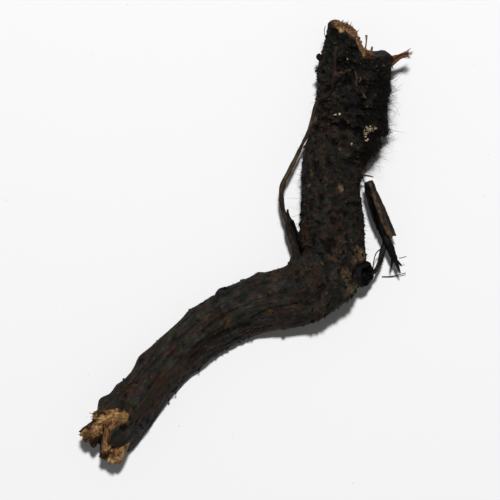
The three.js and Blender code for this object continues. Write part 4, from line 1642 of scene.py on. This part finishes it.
# Loose threads: four places each, with a radius and a shade.
THREADS = (
    (((24.6, -1.0, 5.1), (23.5, -1.9, 5.6), (23.0, -3.3, 6.1), (22.8, -4.9, 6.6)), 0.10, 0.8),
    (((24.7, -6.3, 0.2), (26.2, -6.25, 0.5), (27.7, -5.95, 1.0), (29.0, -5.6, 1.2)), 0.09, 0.4),
    (((27.6, -2.9, 4.9), (28.1, -2.85, 5.0), (28.5, -2.7, 5.0), (28.9, -2.6, 5.0)), 0.07, 0.3),
    (((14.2, 38.6, 8.4), (14.0, 37.6, 8.9), (14.2, 36.6, 8.9), (14.7, 36.0, 8.4)), 0.06, 0.2),
    (((19.4, 30.4, 11.4), (19.7, 29.2, 11.7), (19.6, 28.0, 11.8), (19.8, 26.6, 11.6)), 0.2, 0.7),
)
# Clusters of mineral grains: centre, spread across and along, and how many.
GRAIN_CLUSTERS = (
    (21.9, 19.9, 0.33, 0.5, 26), (21.7, 18.5, 0.22, 0.5, 9), (22.8, 20.1, 0.3, 0.3, 5),
    (16.5, 22.6, 0.3, 0.12, 4), (18.9, 17.3, 0.2, 0.3, 3), (17.9, 32.6, 0.1, 0.1, 1),
)
# Where bark flakes lift: how many, between which stations and which degrees.
FLAKE_ZONES = (
    (80, 7.6, 10.2, -15, 45), (60, 10.3, 12.6, 60, 170), (90, 0.6, 4.2, 10, 175),
    (70, 4.2, 8.0, 0, 180), (40, 13.0, 20.5, 0, 180), (20, 19.2, 21.0, 20, 150),
)


@dataclass
class FineGrowth:
    """Root hairs, torn fibres, loose fibres, mineral grains, soil crumbs and bark flakes."""

    form: RootForm

    def hairs(self, dark: Material) -> None:
        """Makes the tufts of root hairs: a dense dark mat on the crown's right, sparse ones elsewhere.

        Args:
            dark: their finish.
        """
        for tuft in TUFTS:
            strands(*tuft.paths(self.form)).piece(tuft.name, Slot.DARK_CORE, dark)

    def crown_fibres(self, wood: Material) -> None:
        """Makes the fringe of torn fibres along the crown's break.

        Args:
            wood: their finish.
        """
        rng = np.random.default_rng(31)
        count = 760
        a = rng.uniform(-0.22, 0.97, count)
        low = rng.uniform(0, 1, count) < 0.65
        high = np.where(low, rng.uniform(-0.1, 0.3, count), rng.uniform(0.3, 1.0, count))
        b = high * np.sqrt(1 - a**2)
        u = self.form.crown_break(a, b) + rng.uniform(0.0, 0.05, count)
        foot = self.form.spine.place(u, a, b, 0.1)
        heading = unit(np.array([0.25, 1.0, 0.2]) + 0.7 * rng.normal(size=(count, 3)))
        length = (0.12 + 0.5 * rng.uniform(0, 1, count) ** 3)[:, None, None]
        t = np.linspace(0, 1, 5)
        bend = 0.5 * rng.normal(size=(count, 1, 3)) * (t**2)[:, None]
        path = foot[:, None] + length * (heading[:, None] * t[:, None] + bend)
        radii = rng.uniform(0.05, 0.14, count)[:, None] * (1.0 - 0.6 * t)
        fibres = strands(path, radii, rng.uniform(0, 0.6, count))
        sizes = rng.uniform(0.08, 0.27, (count, 1)) * rng.uniform(0.6, 1.5, (count, 3))
        crumbs = pebbles(foot + 0.10 * rng.normal(size=(count, 3)), sizes, rng.uniform(0, 0.75, count), rng)
        fibres.joined(crumbs).piece("crown_break_fibres", Slot.TORN_WOOD, wood)

    def tip_fibres(self, tip: TornTip, wood: Material) -> None:
        """Makes the fibres that stand out of the chunks of the tip.

        Args:
            tip: the chunks.
            wood: their finish.
        """
        rng = np.random.default_rng(32)
        count = 300
        which = rng.integers(0, 4, count)
        feet = np.array([c[0] for c in tip.chunks])[which]
        heads = np.array([c[1] for c in tip.chunks])[which]
        width = np.array([c[2] for c in tip.chunks])[which]
        run = heads - feet
        share = rng.uniform(0.5, 0.9, count)[:, None]
        around = unit(rng.normal(size=(count, 3)) + [0, 0, 0.6])
        foot = feet + run * share + around * (0.72 * width)[:, None]
        heading = unit(unit(run) + 0.28 * rng.normal(size=(count, 3)))
        t = np.linspace(0, 1, 5)
        length = (0.25 + 0.6 * rng.uniform(0, 1, count) ** 2)[:, None, None]
        path = foot[:, None] + length * (heading[:, None] * t[:, None])
        radii = rng.uniform(0.04, 0.13, count)[:, None] * (1.0 - 0.7 * t)
        strands(path, radii, rng.uniform(0, 1, count)).piece("tip_fibres", Slot.TORN_WOOD, wood)

    def stiff_fibres(self, wood: Material, dark: Material) -> None:
        """Makes the few fibres large enough to be told apart, which stand for the solid ones too.

        Args:
            wood: the finish of the fibres on the crown.
            dark: the finish of the neck's stub and the elbow's threads.
        """
        t = np.linspace(0, 1, 7)
        foot = self.form.skin(np.array([1.2]), np.radians([101.0]), -0.7)[0]
        tall = foot + np.outer(t, [0.45, 3.4, 1.0]) + np.outer(np.sin(3 * t), [0.2, 0, 0])
        short = foot + np.array([1.25, -0.1, 0]) + np.outer(t, [0.3, 1.5, 0.4])
        wide = foot + np.array([-0.1, -0.6, -0.1]) + np.outer(t, [0.5, 2.1, 0.5])
        knob = 0.18 * np.exp(-(((t - 0.95) / 0.1) ** 2))
        radii = np.stack([0.17 - 0.07 * t + knob, 0.26 - 0.08 * t, 0.24 - 0.16 * t])
        upright = strands(np.stack([tall, short, wide]), radii, np.array([0.35, 0.25, 0.5]), 8)
        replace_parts(upright.piece("upright_fibres", Slot.TORN_WOOD, wood), "crown_fibre")

        root = self.form.skin(np.array([6.33]), np.radians([170.0]), -0.2)[0]
        stub = root + np.outer(t, [2.2, -0.25, 0.15]) + np.outer(np.sin(4 * t), [0, 0.08, 0.05])
        stub_shape = strands(stub[None], (0.22 - 0.12 * t)[None], np.array([0.9]), 8)
        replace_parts(stub_shape.piece("neck_stub", Slot.WIRY_CORE, dark), "neck_rootlet_stub")

        steps = np.linspace(0, 3, 9)
        paths = np.stack([through(np.array(places), steps) for places, _, _ in THREADS])
        radii, shade = np.array([(radius, shade) for _, radius, shade in THREADS]).T
        girth = radii[:, None] * (1.1 - 0.25 * steps / 3)
        strands(paths, girth, shade, 6).piece("loose_threads", Slot.WIRY_CORE, dark)

    def grains(self, pale: Material, soil: Material) -> None:
        """Makes the cream mineral grains caught in the hairs and the dark crumbs of soil.

        Args:
            pale: the mineral grains' finish.
            soil: the crumbs' finish.
        """
        rng = np.random.default_rng(33)
        spots = [rng.normal(size=(n, 2)) * [sx, sy] + [x, y] for x, y, sx, sy, n in GRAIN_CLUSTERS]
        spots = np.concatenate(spots)
        u, angle = self.form.find(*spots.T)
        sizes = rng.uniform(0.12, 0.26, (len(u), 1)) * rng.uniform(0.7, 1.2, (len(u), 3))
        piled = rng.uniform(0, 0.5, (len(u), 1)) * (spots[:, :1] > 21)
        places = self.form.skin(u, angle, 0.12) + piled * self.form.outwards(u, angle)
        grains = pebbles(places, sizes, rng.uniform(0, 1, len(u)), rng)
        grains.piece("mineral_grains", Slot.TORN_WOOD, pale)

        count = 1500
        u = np.concatenate([rng.uniform(0.6, 5.2, 900), rng.uniform(5, 13, 450), rng.uniform(13, 20, 150)])
        angle = np.radians(rng.uniform(-25, 205, count))
        u = np.maximum(u, self.form.crown_break(np.cos(angle), np.sin(angle)) + 0.2)
        sizes = rng.gamma(2.2, 0.05, (count, 1)) * rng.uniform(0.6, 1.3, (count, 3)) + 0.03
        crumbs = pebbles(self.form.skin(u, angle, 0.02), sizes, rng.uniform(0, 1, count) ** 2, rng)
        crumbs.piece("soil_crumbs", Slot.ROOT_BARK, soil)

    def flakes(self, bark: Material) -> None:
        """Makes thin flakes of bark that have lifted along one edge, most on the neck's left side
        and round the torn elbow.

        Args:
            bark: their finish.
        """
        rng = np.random.default_rng(34)
        u = np.concatenate([rng.uniform(lo, hi, n) for n, lo, hi, _, _ in FLAKE_ZONES])
        angle = np.radians(np.concatenate([rng.uniform(lo, hi, n) for n, _, _, lo, hi in FLAKE_ZONES]))
        u = np.maximum(u, self.form.crown_break(np.cos(angle), np.sin(angle)) + 0.3)
        count = len(u)
        foot = self.form.skin(u, angle, 0.02)
        out = self.form.outwards(u, angle)
        run = unit(self.form.spine.section(u).forward + 0.6 * rng.normal(size=(count, 3)))
        across = unit(np.cross(out, run))
        run = np.cross(across, out)
        s, t = np.meshgrid(np.linspace(-1, 1, 4), np.linspace(0, 1, 4), indexing="ij")
        length = rng.uniform(0.25, 0.9, (count, 1, 1, 1))
        width = rng.uniform(0.10, 0.32, (count, 1, 1, 1))
        rise = rng.uniform(0.1, 0.75, (count, 1, 1, 1))
        jag = rng.uniform(0.7, 1.3, (count, 4, 4, 1))
        s, t = s[..., None], t[..., None]
        foot, out, run, across = (v[:, None, None] for v in (foot, out, run, across))
        outer = foot + (across * width * s + run * length * t) * jag
        outer += out * (length * rise * t**2 + 0.35 * s**2 * width)
        walls = np.stack([outer, outer - 0.07 * out], axis=1)
        shade = rng.uniform(0, 1, count) ** 2.5
        flakes = copies(thick_sheet(*walls[0]), walls.reshape(count, -1, 3), shade)
        flakes.piece("bark_flakes", Slot.TORN_BARK, bark)


# ---------------------------------------------------------------- the setting


@dataclass
class Setting:
    """The pale sheet, the lights and the camera above the root."""

    view_centre: tuple[float, float] = (0.72, -1.44)
    view_width: float = 90.0
    subject_height: float = 5.5
    camera_height: float = 520.0
    sheet_size: float = 1600.0
    sheet_color: Rgb = (0.86, 0.86, 0.87)
    speck_color: Rgb = (0.42, 0.38, 0.36)
    key_place: tuple[float, float, float] = (30, 290, 1000)
    key_size: float = 75.0
    key_watts: float = 10.7
    fill_color: Rgb = (1.0, 0.985, 0.955)
    fill_strength: float = 0.13

    def floor(self) -> None:
        """Lays the pale sheet at the root's lowest point."""
        half = self.sheet_size / 2 * METRES
        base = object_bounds()[0].z
        mesh = bpy.data.meshes.new("sheet")
        corners = [(-half, -half, base), (half, -half, base), (half, half, base), (-half, half, base)]
        mesh.from_pydata(corners, [], [(0, 1, 2, 3)])
        graph = Surface("sheet")
        speck = graph.add("ShaderNodeTexVoronoi", {"Vector": graph.place, "Scale": 330.0})
        dot = graph.stretched(speck.outputs["Distance"], 0.03, 0.06, 0.35, 0.0)
        cloud = graph.add("ShaderNodeTexNoise", {"Vector": graph.place, "Scale": 190.0})
        share = graph.math("MULTIPLY", dot, graph.stretched(cloud.outputs["Fac"], 0.52, 0.6))
        color = graph.blended(share, self.sheet_color, self.speck_color)
        graph.tree.links.new(color, graph.shader.inputs["Base Color"])
        graph.shader.inputs["Roughness"].default_value = 0.9
        graph.shader.inputs["Specular IOR Level"].default_value = 0.2
        mesh.materials.append(graph.material)
        sheet = bpy.data.objects.new("sheet", mesh)
        bpy.context.scene.collection.objects.link(sheet)
        sheet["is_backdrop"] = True

    def light(self) -> None:
        """Hangs the soft key light towards the crown's end and fills the shadows from all round."""
        lamp = bpy.data.lights.new("key", "AREA")
        lamp.size = self.key_size * METRES
        lamp.energy = self.key_watts
        key = bpy.data.objects.new("key", lamp)
        key.location = Vector(self.key_place) * METRES
        key.rotation_euler = (-key.location).to_track_quat("-Z", "Y").to_euler()
        bpy.context.scene.collection.objects.link(key)
        world = bpy.data.worlds.new("room")
        world.use_nodes = True
        background = world.node_tree.nodes["Background"]
        background.inputs["Color"].default_value = (*self.fill_color, 1)
        background.inputs["Strength"].default_value = self.fill_strength
        bpy.context.scene.world = world
        bpy.context.scene.view_settings.view_transform = "Standard"

    def camera(self) -> None:
        """Puts the camera straight above the root, its top edge towards the crown."""
        data = bpy.data.cameras.new("camera")
        camera = bpy.data.objects.new("camera", data)
        data.sensor_width = 36.0
        data.lens = data.sensor_width * (self.camera_height - self.subject_height) / self.view_width
        data.clip_start, data.clip_end = 0.01, 10
        camera.location = Vector((*self.view_centre, self.camera_height)) * METRES
        bpy.context.scene.collection.objects.link(camera)
        bpy.context.scene.camera = camera

    def build(self) -> None:
        """Sets up floor, light and camera."""
        self.floor()
        self.light()
        self.camera()


def main() -> None:
    """Builds the setting, then the root from its thick body to its finest parts."""
    logging.basicConfig(level=logging.INFO, format="%(name)s: %(message)s")
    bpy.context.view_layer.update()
    Setting().build()
    shop = Workshop()
    form = RootForm()
    limb = {finish.name: finish.material(shop) for finish in LIMB_FINISHES}
    fine = {finish.name: finish.material(shop) for finish in STRAND_FINISHES}

    ThickRoot(form).build(RootBarkFinish().material(shop))
    ElbowScar().build(limb["scar_bark"])
    SideRoots(form).build(limb["sleeve_bark"], limb["wiry_skin"], limb["dark_heart"])
    tip = TornTip()
    tip.build(limb["torn_wood"])
    Splinter().build(fine["splinter_fibre"])
    growth = FineGrowth(form)
    growth.hairs(fine["root_hair"])
    growth.crown_fibres(fine["wood_fibre"])
    growth.tip_fibres(tip, fine["wood_fibre"])
    growth.stiff_fibres(fine["wood_fibre"], fine["stalk"])
    growth.grains(fine["mineral"], fine["soil"])
    growth.flakes(fine["bark_flake"])


if __name__ == "__main__":
    main()
